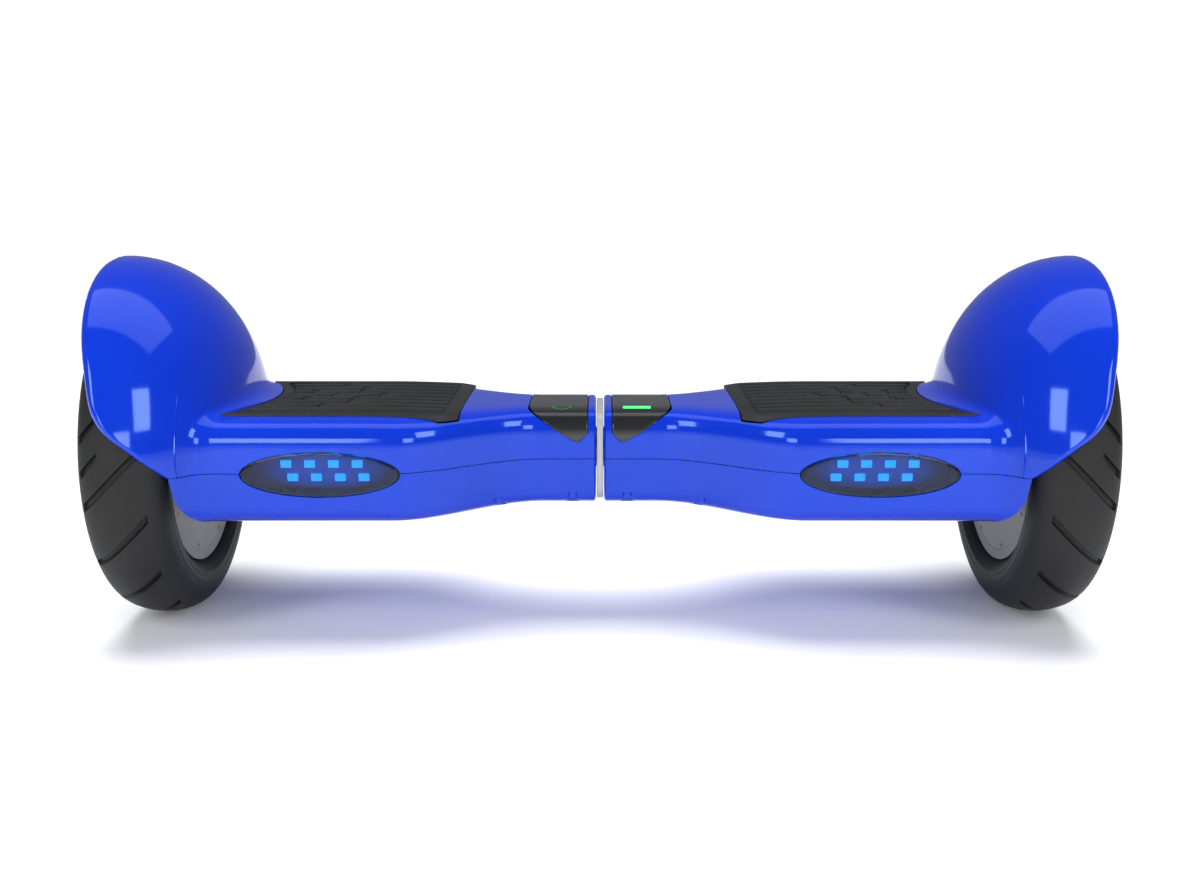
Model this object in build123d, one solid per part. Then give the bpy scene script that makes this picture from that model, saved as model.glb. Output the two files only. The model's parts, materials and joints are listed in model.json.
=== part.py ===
from build123d import *
import math
import os

os.makedirs("parts", exist_ok=True)

# Self balancing hoverboard, millimetres. +X is the rider's right, the lamps face -Y, +Z is up.
# The origin is on the floor below the middle of the board. Every function makes the right half
# at +X, and the left half is its mirror image.

# Wheel
tyre_radius = 127.0
tyre_half_width = 29.0
axle_z = tyre_radius
wheel_x = 325.0
rim_half_width = 23.0
rim_flange_radius = 88.5
bead_seat_radius = 82.5
drop_centre_radius = 80.5
barrel_bore_radius = 74.5
axle_radius = 7.5
bearing_radius = 17.5
bearing_width = 11.0
cover_radius = 81.3
cover_screw_count = 9
cover_screw_place = 78.0
magnet_radius = 72.9
magnet_face_radius = 71.0
magnet_count = 30
tooth_count = 27
stack_half = 10.0
valve_stem = 2.2
valve_place = 78.4

# Shells
parting_z = 124.0
twist_z = parting_z
shell_start_x = 3.0
shell_end_x = 291.0
upper_wall = 2.5
lower_wall = 3.0
deck_half_depth = 97.0
neck_half_depth = 46.0
deck_top = 39.0
neck_top = 35.5
deck_bottom = 41.0
neck_bottom = 36.0
top_corner = 9.0
bottom_corner = 16.0
foot_half_depth = 117.5
flare_start_x = 42.0
flare_end_x = 146.0
crest_x = 167.0
foot_x = 262.0
dish_centre_x = 352.0
dish_centre_rise = 30.0
dish_length = 98.0
dish_rise = 111.0
dish_lip = 5.5

# Foot mat
mat_inner_x = 100.0
mat_outer_x = 265.0
mat_waist_x = 243.0
mat_half_width = 78.0
mat_bottom_z = 156.5
mat_gap = 0.4
mat_travel = 2.0
mat_clear = mat_travel + 0.1
tray_floor = 2.0
tray_wall = 2.0
switch_xs = (160.0, 204.0)

# Middle joint
shaft_radius = 15.0
shaft_bore = 11.0
hub_tube_radius = 24.0
bush_radius = 18.0
twist_limit = 12.0
stop_pin_x = 32.0
stop_pin_radius = 3.0
stop_pin_tip = 11.6

# Lamps, panels and controls
lens_x = 193.4
lens_z = 123.0
lens_half_length = 55.0
lens_half_height = 15.5
led_pitch = 16.5
port_x = 38.0
port_z = 110.0
port_hole = 10.9
port_face = 47.2
port_bore = 8.0
port_depth = 12.0
contact_count = 3
contact_circle = 4.2
contact_radius = 1.5
contact_depth = 6.0
flange_radius = 12.6
cap_hinge_x = port_x + 13.8
cap_hinge_y = 49.4
screw_xs = (20.0, 73.0, 138.5, 225.0, 279.0)
upper_boss_radius = 6.0
lower_boss_radius = 7.0
screw_pilot_radius = 1.6
screw_pass_radius = 2.2
screw_recess_radius = 4.6
screw_seat_z = 96.0
axle_opening = 12.0

# Chassis
plate_z = 138.0
plate_top = 142.0
cradle_x0 = 250.0
cradle_x1 = 282.0


def block(x0, x1, y0, y1, z0, z1):
    """A box between two corners."""
    centre = Pos((x0 + x1) / 2, (y0 + y1) / 2, (z0 + z1) / 2)
    return centre * Box(x1 - x0, y1 - y0, z1 - z0)


def rod_x(radius, x0, x1, y=0.0, z=axle_z):
    return Pos((x0 + x1) / 2, y, z) * Rot(0, 90, 0) * Cylinder(radius, x1 - x0)


def rod_y(radius, y0, y1, x, z):
    return Pos(x, (y0 + y1) / 2, z) * Rot(90, 0, 0) * Cylinder(radius, y1 - y0)


def rod_z(radius, z0, z1, x, y):
    return Pos(x, y, (z0 + z1) / 2) * Cylinder(radius, z1 - z0)


def ring_x(outer, inner, x0, x1, z=axle_z):
    return rod_x(outer, x0, x1, z=z) - rod_x(inner, x0 - 1, x1 + 1, z=z)


def spun(points, z=axle_z):
    """A solid of revolution about the axle line, from (x, radius) points."""
    face = make_face(Polyline([(x, 0, z + r) for x, r in points], close=True))
    return revolve(face, Axis((0, 0, z), (1, 0, 0)))


def slab_y(wire, depth=160.0):
    """A prism across the whole board, from an outline in the XZ plane."""
    return extrude(make_face(wire), amount=depth, both=True, dir=(0, 1, 0))


def joined(shapes):
    """One group of separate solids."""
    solids = []
    for shape in shapes:
        solids.extend(shape.solids())
    return Compound(children=solids)


# ---- outer form of the casing -------------------------------------------------------------

def plan_side(x0, x1, wall, sign, foot):
    """One long side of the casing seen from above, from the middle of the board outwards."""
    near = sign * (neck_half_depth - wall)
    far = sign * (deck_half_depth - wall)
    edges = [Line((x0, near), (flare_start_x, near)),
             Spline([(flare_start_x, near), (flare_end_x, far)], tangents=[(1, 0), (1, 0)])]
    if not foot:
        return [*edges, Line((flare_end_x, far), (x1, far))]
    wide = sign * (foot_half_depth - wall)
    edges.append(Line((flare_end_x, far), (foot_x, far)))
    edges.append(Spline([(foot_x, far), (x1, wide)], tangents=[(1, 0), (0.55, sign * 0.83)]))
    return edges


def plan_prism(x0, x1, wall, foot):
    front = plan_side(x0, x1, wall, -1, foot)
    back = plan_side(x0, x1, wall, 1, foot)
    ends = [Line(front[-1] @ 1, back[-1] @ 1), Line(front[0] @ 0, back[0] @ 0)]
    return extrude(make_face([*front, *back, *ends]), amount=300)


def side_prism(x0, x1, wall, up):
    """The casing seen from the front, above (up = 1) or below (up = -1) the parting plane."""
    near = parting_z + up * ((neck_top if up > 0 else neck_bottom) - wall)
    far = parting_z + up * ((deck_top if up > 0 else deck_bottom) - wall)
    level_x = crest_x if up > 0 else flare_end_x
    base = parting_z - up * (2.0 + wall)
    outer = [Line((x0, 0, near), (flare_start_x, 0, near)),
             Spline([(flare_start_x, 0, near), (level_x, 0, far)], tangents=[(1, 0, 0), (1, 0, 0)]),
             Line((level_x, 0, far), (x1, 0, far))]
    ends = [Line((x1, 0, far), (x1, 0, base)), Line((x1, 0, base), (x0, 0, base)),
            Line((x0, 0, base), (x0, 0, near))]
    return slab_y([*outer, *ends])


def casing_block(wall, x0, x1, up):
    """One half of the casing's body, without the fender, its long outer edges rounded."""
    body = plan_prism(x0, x1, wall, up < 0) & side_prism(x0, x1, wall, up)
    radius = (top_corner if up > 0 else bottom_corner) - wall
    crest = parting_z + up * 30.0
    long_edges = [e for e in body.edges() if (e.center().Z - crest) * up > 0 and abs(e.center().Y) > 20]
    return fillet(long_edges, radius)


def dish(wall):
    """The fender as a solid of revolution, or its hollow where wall is not 0."""
    low = (dish_centre_x - dish_length + wall, 0, axle_z + dish_centre_rise)
    crown = EllipticalCenterArc((dish_centre_x, axle_z + dish_centre_rise), dish_length - wall,
                                dish_rise - wall, start_angle=90, arc_size=90)
    crown = Rot(90, 0, 0) * crown
    top = (dish_centre_x, 0, axle_z + dish_centre_rise + dish_rise - wall)
    rim_x = dish_centre_x + dish_lip
    if wall:
        out = (rim_x + 6, 0, top[2])
        side = [Line(top, out), Line(out, (out[0], 0, axle_z))]
        end = (out[0], 0, axle_z)
    else:
        edge = (rim_x, 0, top[2] - dish_lip)
        bend = dish_lip * math.sqrt(0.5)
        middle = (dish_centre_x + bend, 0, top[2] - dish_lip + bend)
        end = (rim_x, 0, axle_z)
        side = [ThreePointArc(top, middle, edge), Line(edge, end)]
    base = (low[0], 0, axle_z)
    face = make_face([crown, *side, Line(end, base), Line(base, low)])
    return revolve(face, Axis((0, 0, axle_z), (1, 0, 0)))


def upper_limit():
    """Region of the upper shell seen from the front: above the parting plane, inside the fender's edge."""
    edge = Spline([(292, 0, 124), (314, 0, 145.5), (329.5, 0, 162), (338, 0, 186), (346, 0, 212),
                   (353, 0, 238), (357.5, 0, 262)])
    return slab_y([edge, Line((357.5, 0, 262), (357.5, 0, 272)), Line((357.5, 0, 272), (0, 0, 272)),
                   Line((0, 0, 272), (0, 0, 124)), Line((0, 0, 124), (292, 0, 124))])


def lower_limit(inset):
    """Region of the lower shell seen from the front, with its slanted, rounded outer end."""
    top = (293 - inset, 0, 124)
    corner = (284 - inset, 0, 95.5)
    foot = (266 - inset, 0, 83)
    end = Spline([top, (289.5 - inset, 0, 108), corner, foot], tangents=[(-0.25, 0, -1), (-1, 0, 0)])
    return slab_y([end, Line(foot, (foot[0], 0, 75)), Line((foot[0], 0, 75), (0, 0, 75)),
                   Line((0, 0, 75), (0, 0, 124)), Line((0, 0, 124), top)])


def screw_place(x):
    """Distance from the middle plane to a casing screw, beside the casing's lower edge."""
    line = plan_side(shell_start_x, 293, 0, 1, True)
    places = [edge.position_at(step / 20) for edge in line for step in range(21)]
    return 0.8 * max(place.Y for place in places if abs(place.X - x) < 8)


def mat_outline(grow):
    """Plan of the foot mat: straight sides, rounded inner corners, an end that follows the fender."""
    corner = 9.0
    x0 = mat_inner_x - grow
    x1 = mat_outer_x + grow
    y = mat_half_width + grow
    bend = corner * (1 - math.sqrt(0.5))
    return make_face([
        Line((x0, -y + corner), (x0, y - corner)),
        ThreePointArc((x0, y - corner), (x0 + bend, y - bend), (x0 + corner, y)),
        Line((x0 + corner, y), (x1, y)),
        ThreePointArc((x1, y), (mat_waist_x + grow, 0), (x1, -y)),
        Line((x1, -y), (x0 + corner, -y)),
        ThreePointArc((x0 + corner, -y), (x0 + bend, -y + bend), (x0, -y + corner)),
    ])


def mat_prism(grow, z0, z1):
    return Pos(0, 0, z0) * extrude(mat_outline(grow), amount=z1 - z0, dir=(0, 0, 1))


def lens_prism(grow, y0, y1):
    face = Plane.XZ.offset(-y1) * Pos(lens_x, lens_z) * Ellipse(lens_half_length + grow,
                                                               lens_half_height + grow)
    return extrude(face, amount=y1 - y0, dir=(0, -1, 0))


def panel_prism(grow):
    """Status panel outline: a rounded triangle that folds from the front over the top edge."""
    y0, y1 = -60.0, -10.0 + grow
    g = grow
    start = (9 - g, y1, 164)
    tip_in = (9.3 - g, y1, 141)
    tip = (12.5, y1, 136 - g)
    tip_out = (18 + g, y1, 138 - g)
    edge = (54 + 1.5 * g, y1, 164)
    face = make_face([
        Line(start, tip_in),
        Spline([tip_in, tip, tip_out], tangents=[(0, 0, -1), (1, 0, 0.62)]),
        ThreePointArc(tip_out, (40 + g, y1, 152 - g), edge),
        Line(edge, start),
    ])
    return extrude(face, amount=y1 - y0, dir=(0, -1, 0))


def boss_column(x, radius, z0, z1):
    return [rod_z(radius, z0, z1, x, screw_place(x)), rod_z(radius, z0, z1, x, -screw_place(x))]


def upper_form():
    """Closed outer form of the upper shell."""
    return (casing_block(0, shell_start_x, shell_end_x, 1) + dish(0)) & upper_limit()


def upper_shell():
    shell_form = upper_form()
    hollow = casing_block(upper_wall, shell_start_x + 3, 288.0, 1)
    room = dish(upper_wall)
    shell = shell_form - hollow
    shell -= room & block(250, 288, -140, 140, 124, 280)
    shell -= room & block(shell_end_x, 370, -145, 145, 120, 280)
    for x in screw_xs:
        for boss in boss_column(x, upper_boss_radius, parting_z, parting_z + 16):
            shell += boss
        for y in (screw_place(x), -screw_place(x)):
            rib = block(x - 1.2, x + 1.2, min(y, y * 1.5), max(y, y * 1.5), parting_z, parting_z + 14)
            shell += rib & shell_form
    tray = mat_prism(mat_gap + tray_wall, mat_bottom_z - mat_clear - tray_floor, 170) & shell_form
    shell += tray
    shell -= mat_prism(mat_gap, mat_bottom_z - mat_clear, 175)
    for x in switch_xs:
        shell -= block(x - 2.2, x + 2.2, -4, 4, 148, 160)
    for x in screw_xs:
        for hole in boss_column(x, screw_pilot_radius, parting_z - 1, parting_z + 13):
            shell -= hole
    shell -= lens_prism(mat_gap, -110, -80)
    shell -= panel_prism(0.15)
    shell -= rod_x(hub_tube_radius - 7, 0, 8, z=twist_z)
    shell -= rod_x(axle_opening, 286, 293)
    return shell


def lower_form():
    return casing_block(0, shell_start_x, 293.0, -1) & lower_limit(0)


def lower_shell(lug):
    """Lower shell with its screw columns; lug adds the notch for the charge cap's hinge."""
    form = lower_form()
    hollow = casing_block(lower_wall, shell_start_x + 3, 293.0, -1) & lower_limit(3.0)
    shell = form - hollow
    for x in screw_xs:
        for boss in boss_column(x, lower_boss_radius, 80, parting_z):
            shell += boss & form
    for x in (130.0, 262.0):
        for y in (-58.0, 58.0):
            shell += rod_z(4.0, 84, 108 if x < cradle_x0 else 105, x, y) & form
    for x in screw_xs:
        for recess in boss_column(x, screw_recess_radius, 70, screw_seat_z):
            shell -= recess
        for hole in boss_column(x, screw_pass_radius, 90, parting_z + 1):
            shell -= hole
    shell -= lens_prism(mat_gap, -110, -80)
    shell -= rod_x(hub_tube_radius - 7, 0, 8, z=twist_z)
    shell -= rod_x(axle_opening, 284, 295)
    shell -= rod_y(port_hole, 30, 60, port_x, port_z) + rod_y(flange_radius + 0.2, 45.2, 60, port_x, port_z)
    if lug:
        shell -= block(port_x + 8, cap_hinge_x + 2.2, 45.0, 60, port_z - 5.4, port_z + 5.4)
    return shell


def shell_screws():
    """Pan head screws that hold the two shells of one half together."""
    screws = []
    for x in screw_xs:
        for y in (-screw_place(x), screw_place(x)):
            screw = rod_z(screw_pilot_radius - 0.05, 95.9, parting_z + 12, x, y)
            screw += rod_z(screw_recess_radius - 0.8, 92.9, screw_seat_z - 0.05, x, y)
            screws.append(screw - rod_z(1.2, 92, 94.4, x, y))
    return joined(screws)


# ---- foot mat, lamps, panels --------------------------------------------------------------

def foot_mat():
    """Rubber mat whose top follows the deck, with tabs that dip into the rider switches."""
    body = casing_block(0, shell_start_x, shell_end_x, 1)
    mat = body & mat_prism(0, mat_bottom_z, 175)
    for x in switch_xs:
        mat += block(x - 1.2, x + 1.2, -3, 3, 150.2, mat_bottom_z + 1)
    return mat


def skin(depth, up):
    """The outer layer of one half of the casing, to a given depth."""
    return casing_block(0, shell_start_x, 293, up) - casing_block(depth, shell_start_x - 2, 296, up)


def headlight_lens():
    whole = lens_prism(0, -110, -80)
    above = skin(3.0, 1) & (whole & block(100, 300, -120, 0, parting_z, 200))
    below = skin(3.0, -1) & (whole & block(100, 300, -120, 0, 50, parting_z))
    return above + below


def headlight_module():
    """Lamp board with eight LEDs in two staggered rows."""
    pieces = [block(lens_x - 50, lens_x + 50, -88, -86.4, lens_z - 11, lens_z + 11)]
    for row, (rise, shift) in enumerate(((6.2, 0.0), (-3.3, -4.4))):
        for index in range(4):
            x = lens_x + shift + (index - 1.5) * led_pitch
            z = lens_z + rise
            pieces.append(block(x - 3.75, x + 3.75, -90.4, -88, z - 2.5, z + 2.5))
    return joined(pieces)


def indicator_prism(kind):
    """Outline of a lit sign on the panel: an oval ring or a bar."""
    if kind == "ring":
        plan = Ellipse(7.0, 4.5) - Ellipse(5.6, 3.1)
        place = Pos(28, -28)
    else:
        plan = RectangleRounded(20, 4.5, 1.2)
        place = Pos(27, -30)
    return Pos(0, 0, 150) * extrude(place * plan, amount=20)


def status_panel(kind):
    sign = skin(0.8, 1) & indicator_prism(kind)
    return (skin(1.9, 1) & panel_prism(0)) - sign


def indicator(kind):
    return skin(0.8, 1) & indicator_prism(kind)


# ---- wheel with hub motor -----------------------------------------------------------------

def wheel_point(u, r):
    return (wheel_x + u, r)


def tyre():
    """Tubeless tyre, hollow, open to the rim's drop centre."""
    outer = [(-19.9, 82.6), (-19.9, 89), (-25, 93), (-28.3, 100), (-tyre_half_width, 106.7), (-28, 112),
             (-25, 118), (-19, 123), (-10, 126), (0, tyre_radius)]
    inner = [(0, 119.5), (-10, 118.5), (-18, 114.5), (-22, 108), (-22.3, 101), (-19, 95),
             (-13, 91), (-11, 82.6)]
    left = [wheel_point(u, r) for u, r in outer]
    right = [wheel_point(-u, r) for u, r in reversed(outer[:-1])]
    hollow_right = [wheel_point(-u, r) for u, r in reversed(inner[1:])]
    hollow_left = [wheel_point(u, r) for u, r in inner]
    return spun(left + right + hollow_right + hollow_left)


def rim():
    """Cast rim that is also the motor's can: barrel, flanges, closed outer face, bearing boss."""
    w = rim_half_width
    profile = [(-w, 81.5), (-w, rim_flange_radius), (-20, rim_flange_radius), (-20, bead_seat_radius),
               (-10, bead_seat_radius), (-7, drop_centre_radius), (7, drop_centre_radius),
               (10, bead_seat_radius), (20, bead_seat_radius), (20, rim_flange_radius),
               (w, rim_flange_radius), (w, 85), (20.8, 81.6),
               (19, 81.6), (18.5, 66), (20, 30), (21.5, 22), (21.5, bearing_radius), (10, bearing_radius),
               (10, 22), (16, 26), (16, barrel_bore_radius), (-19, barrel_bore_radius), (-19, 81.5)]
    body = spun([wheel_point(u, r) for u, r in profile])
    for index in range(cover_screw_count):
        angle = index * 360 / cover_screw_count
        body -= turned(rod_x(1.5, wheel_x - 19.5, wheel_x - 8, z=axle_z + cover_screw_place), angle)
    body -= rod_x(valve_stem + 0.1, wheel_x + 2, wheel_x + 25, z=axle_z - valve_place)
    return body


def turned(shape, angle, z=axle_z):
    return shape.rotate(Axis((0, 0, z), (1, 0, 0)), angle)


def magnet_ring():
    """Thin steel flux ring with magnets bonded inside it, set in the rim's barrel."""
    x0, x1 = wheel_x - 12, wheel_x + 12
    pieces = [ring_x(barrel_bore_radius, magnet_radius, x0, x1)]
    magnet = ring_x(magnet_radius, magnet_face_radius, x0 + 1, x1 - 1)
    magnet = magnet & block(x0, x1, -6.6, 6.6, axle_z + 60, axle_z + 80)
    for index in range(magnet_count):
        pieces.append(turned(magnet, index * 360 / magnet_count))
    return joined(pieces)


def motor_cover():
    """Disc that closes the motor on the board's side and carries the inner bearing."""
    profile = [(-23, 12), (-23, cover_radius), (-19, cover_radius), (-19, 70), (-20, 60), (-20, 26),
               (-18, 22), (-11, 22), (-11, bearing_radius), (-22, bearing_radius), (-22, 12)]
    body = spun([wheel_point(u, r) for u, r in profile])
    screw_z = axle_z + cover_screw_place
    for index in range(cover_screw_count):
        angle = index * 360 / cover_screw_count
        hole = rod_x(1.6, wheel_x - 24, wheel_x - 18, z=screw_z)
        hole += rod_x(3.0, wheel_x - 24, wheel_x - 21.2, z=screw_z)
        body -= turned(hole, angle)
    return body


def cover_screws():
    screws = []
    screw_z = axle_z + cover_screw_place
    for index in range(cover_screw_count):
        screw = rod_x(1.45, wheel_x - 21.3, wheel_x - 9, z=screw_z)
        screw += rod_x(2.8, wheel_x - 23, wheel_x - 21.2, z=screw_z)
        screw -= rod_x(1.1, wheel_x - 24, wheel_x - 21.9, z=screw_z)
        screws.append(turned(screw, index * 360 / cover_screw_count))
    return joined(screws)


def wheel_bearings():
    """Two deep groove ball bearings: rings and balls."""
    pieces = []
    for x0 in (wheel_x - 22, wheel_x + 10):
        x1 = x0 + bearing_width
        middle = (x0 + x1) / 2
        groove = Pos(middle, 0, axle_z) * Rot(0, 90, 0) * Torus(12.5, 2.1)
        pieces.append(ring_x(bearing_radius, 14.2, x0, x1) - groove)
        pieces.append(ring_x(10.8, axle_radius + 0.03, x0, x1) - groove)
        for index in range(9):
            ball = Pos(middle, 0, axle_z + 12.5) * Sphere(2.0)
            pieces.append(turned(ball, index * 40))
    return joined(pieces)


def valve():
    """Snap-in valve with its cap, through the rim's outer face."""
    z = axle_z - valve_place
    stem = rod_x(valve_stem, wheel_x + 3, wheel_x + 24.5, z=z)
    collar = rod_x(3.1, wheel_x + 19, wheel_x + 21, z=z)
    cap = rod_x(2.9, wheel_x + 24.5, wheel_x + 28, z=z)
    return stem + collar + cap


def hub_cap():
    profile = [(21.6, 0), (21.6, 19.5), (23.4, 19.5), (25.2, 16), (26.2, 9), (26.5, 0)]
    return spun([wheel_point(u, r) for u, r in profile])


def axle():
    """Hollow steel axle with a seat for the stator and flats for the clamp."""
    body = rod_x(axle_radius, cradle_x0, wheel_x + 21) + rod_x(9.0, wheel_x - 9, wheel_x + 9)
    body -= rod_x(3.2, cradle_x0 - 1, wheel_x - 20)
    body -= block(cradle_x0 - 1, cradle_x1 - 2, -10, 10, axle_z + 6.5, axle_z + 9)
    return body


def stator():
    """Laminated stator: hub, web, yoke and teeth."""
    body = ring_x(24, 9.0, wheel_x - 8, wheel_x + 8)
    body += ring_x(50, 23, wheel_x - 4, wheel_x + 4)
    body += ring_x(52, 46, wheel_x - stack_half, wheel_x + stack_half)
    tip_ring = ring_x(70.2, 67.6, wheel_x - stack_half, wheel_x + stack_half)
    tip = tip_ring & block(wheel_x - 14, wheel_x + 14, -6, 6, axle_z + 50, axle_z + 80)
    tooth = block(wheel_x - stack_half, wheel_x + stack_half, -2, 2, axle_z + 51, axle_z + 68) + tip
    for index in range(4):
        body -= turned(rod_x(7, wheel_x - 5, wheel_x + 5, z=axle_z + 35), 45 + 90 * index)
    return body + [turned(tooth, index * 360 / tooth_count) for index in range(tooth_count)]


def windings():
    """One copper coil on each stator tooth."""
    outer = block(wheel_x - 14.5, wheel_x + 14.5, -5, 5, axle_z + 53.4, axle_z + 67)
    outer = fillet(outer.edges().filter_by(Axis.Z), 2.5)
    reach = stack_half + 0.1
    coil = outer - block(wheel_x - reach, wheel_x + reach, -2.1, 2.1, axle_z + 50, axle_z + 70)
    return joined([turned(coil, index * 360 / tooth_count) for index in range(tooth_count)])


# ---- chassis and electronics --------------------------------------------------------------

def chassis(bore):
    """Cast frame: plate, side walls, tube for the middle joint, cradle for the axle."""
    outline = Polyline([(50, -20), (84, -30), (106, -62), (284, -62), (284, 62), (106, 62), (84, 30),
                        (50, 20)], close=True)
    frame = Pos(0, 0, plate_z) * extrude(make_face(outline), amount=plate_top - plate_z, dir=(0, 0, 1))
    frame -= block(cradle_x0 - 3, 290, -24, 24, 130, 150)
    frame -= block(112, 226, 28, 52, 130, 150) + block(112, 226, -52, -28, 130, 150)
    for side in (-1, 1):
        frame += block(106, 284, min(58 * side, 62 * side), max(58 * side, 62 * side), 108, plate_z + 1)
    frame += rod_x(hub_tube_radius, 8, 60, z=twist_z)
    frame += block(cradle_x0, cradle_x1, -62, 62, 105, 127)
    frame += block(cradle_x0, cradle_x1, -30, -24, 105, plate_top)
    frame += block(cradle_x0, cradle_x1, 24, 30, 105, plate_top)
    frame -= rod_x(axle_radius + 0.02, cradle_x0 - 5, cradle_x1 + 5)
    frame -= rod_x(bore, 4, 64, z=twist_z)
    frame -= rod_x(19.5, 60, 72, z=twist_z)
    for x, y in clamp_bolt_places():
        frame -= rod_z(2.5, 110, 128, x, y)
    for x, y in board_posts():
        frame += rod_z(3.0, plate_top - 0.5, 146, x, y)
    return frame


def clamp_bolt_places():
    return [(x, y) for x in (258, 274) for y in (-16, 16)]


def board_posts():
    return [(x, y) for x in (152, 212) for y in (-22, 22)]


def axle_clamp():
    cap = block(cradle_x0, cradle_x1 - 1, -23.6, 23.6, 127.4, 141)
    cap = fillet(cap.edges().filter_by(Axis.X).group_by(Axis.Z)[-1], 3)
    cap -= rod_x(axle_radius + 0.02, cradle_x0 - 5, cradle_x1 + 5)
    for x, y in clamp_bolt_places():
        cap -= rod_z(2.6, 120, 145, x, y)
    return cap


def clamp_bolts():
    bolts = []
    for x, y in clamp_bolt_places():
        bolt = rod_z(2.45, 111, 141.5, x, y) + rod_z(4.2, 141, 145.5, x, y)
        socket = Pos(x, y, 143.2) * extrude(RegularPolygon(2.3, 6), amount=3)
        bolts.append(bolt - socket)
    return joined(bolts)


def gyro_board():
    """Balance board with a motion chip, a plug and two slotted light switches."""
    pieces = [block(148, 216, -26, 26, 146, 147.6)]
    for x in switch_xs:
        pieces.append(block(x - 5.4, x - 2.2, -4, 4, 147.6, 151.4))
        pieces.append(block(x + 2.2, x + 5.4, -4, 4, 147.6, 151.4))
    pieces.append(block(176, 188, -6, 6, 147.6, 149))
    pieces.append(block(172, 194, 16, 22, 147.6, 151.4))
    return joined(pieces)


def battery_pack():
    """Ten series cells in pairs under a shrink sleeve."""
    pack = block(100, 222, -45, 45, 89, 129)
    pack = fillet(pack.edges().filter_by(Axis.Y), 9)
    return pack


def main_board():
    """Motor controller: board, finned heat sink, capacitors and plugs."""
    pieces = [block(108, 224, -46, 46, 103, 104.6)]
    sink = block(120, 212, -40, 40, 93, 96)
    for index in range(12):
        x = 122 + index * 8
        sink += block(x - 1, x + 1, -40, 40, 88.5, 93.5)
    sink += block(130, 202, -36, -30, 95, 103) + block(130, 202, 30, 36, 95, 103)
    pieces.append(sink)
    for x in (132, 150, 168):
        pieces.append(rod_z(6.2, 104.6, 124, x, -30))
    for index in range(6):
        x = 128 + index * 16
        pieces.append(block(x - 5, x + 5, 28, 32, 104.6, 120))
    pieces.append(block(108, 118, -12, 12, 104.6, 112))
    pieces.append(block(196, 214, -14, 14, 104.6, 112))
    return joined(pieces)


def tube(points, radius, bend):
    """A round lead along straight runs joined by arcs."""
    path = FilletPolyline(points, radius=bend)
    start = Plane(origin=path @ 0, z_dir=path % 0)
    return sweep(start * Circle(radius), path=path)


def motor_cable():
    """Motor lead: out of the hollow axle, over the cradle and along the frame to its plug."""
    route = [(wheel_x - 22, 0, axle_z), (246, 0, axle_z), (226, 0, 133.4), (112, 0, 133.4)]
    lead = tube(route, 2.4, 34)
    return joined([lead, block(100, 112, -7, 7, 130, 137)])


def battery_lead():
    """Lead from the battery to the charge socket."""
    route = [(98, 14, 108), (84, 14, 108), (72, 14, 97), (port_x, 14, 94.6), (port_x - 10, 26, 94.6)]
    return tube(route, 2.4, 7)


def center_harness():
    """Bundle that links the halves along the joint's own axis, with a plug at each end."""
    lead = rod_x(4.0, -86, 78, z=twist_z)
    plugs = [block(-96, -86, -8, 8, twist_z - 5, twist_z + 5), block(78, 88, -8, 8, twist_z - 5, twist_z + 5)]
    return joined([lead, *plugs])


# ---- middle joint -------------------------------------------------------------------------

def center_shaft():
    """Steel tube fixed in the left half; its arc slot limits the twist."""
    shaft = ring_x(shaft_radius, shaft_bore, -60, 66, z=twist_z)
    reach = twist_limit + 1.0 + math.degrees(math.asin(stop_pin_radius / stop_pin_tip))
    slot = ring_x(shaft_radius + 1, shaft_bore - 1, stop_pin_x - 3.2, stop_pin_x + 3.2, z=twist_z)
    side = 40 * math.tan(math.radians(reach))
    wedge = make_face(Polyline([(20, 0, twist_z), (20, -side, twist_z + 40), (20, side, twist_z + 40)],
                               close=True))
    shaft -= slot & extrude(wedge, amount=30, dir=(1, 0, 0))
    shaft -= ring_x(shaft_radius + 1, 14.0, 60.4, 62.4, z=twist_z)
    return shaft


def shaft_ring():
    ring = ring_x(18.5, 14.0, 60.4, 62.4, z=twist_z)
    return ring - block(60, 63, -2, 2, twist_z - 20, twist_z - 10)


def shaft_bushes():
    bushes = []
    for x0 in (8.0, 44.0):
        bushes.append(ring_x(bush_radius, shaft_radius + 0.05, x0, x0 + 12, z=twist_z))
    return joined(bushes)


def center_washer():
    return ring_x(22.5, shaft_radius, -2.6, 2.6, z=twist_z)


def twist_stop_pin():
    return rod_z(stop_pin_radius, twist_z + stop_pin_tip, twist_z + 23, stop_pin_x, 0)


# ---- controls on the back -----------------------------------------------------------------

def charge_socket():
    """Round inlet: collar with a bore for the plug, three sunk contact sleeves, a lug for the cap."""
    seat = port_face - port_depth
    collar = rod_y(10.6, 26, port_face, port_x, port_z)
    collar += rod_y(flange_radius, 45.4, port_face, port_x, port_z)
    collar += block(port_x + 10, cap_hinge_x, 45.2, port_face, port_z - 5, port_z + 5)
    collar -= rod_y(port_bore, seat, port_face + 2, port_x, port_z)
    sleeves = []
    for index in range(contact_count):
        angle = math.radians(90 + 360 * index / contact_count)
        x = port_x + contact_circle * math.cos(angle)
        z = port_z + contact_circle * math.sin(angle)
        collar -= rod_y(contact_radius + 0.1, seat - contact_depth, seat + 1, x, z)
        sleeve = rod_y(contact_radius, seat - contact_depth, seat - 0.3, x, z)
        sleeves.append(sleeve - rod_y(contact_radius - 0.6, seat - contact_depth + 1, seat, x, z))
    return collar, sleeves


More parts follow.
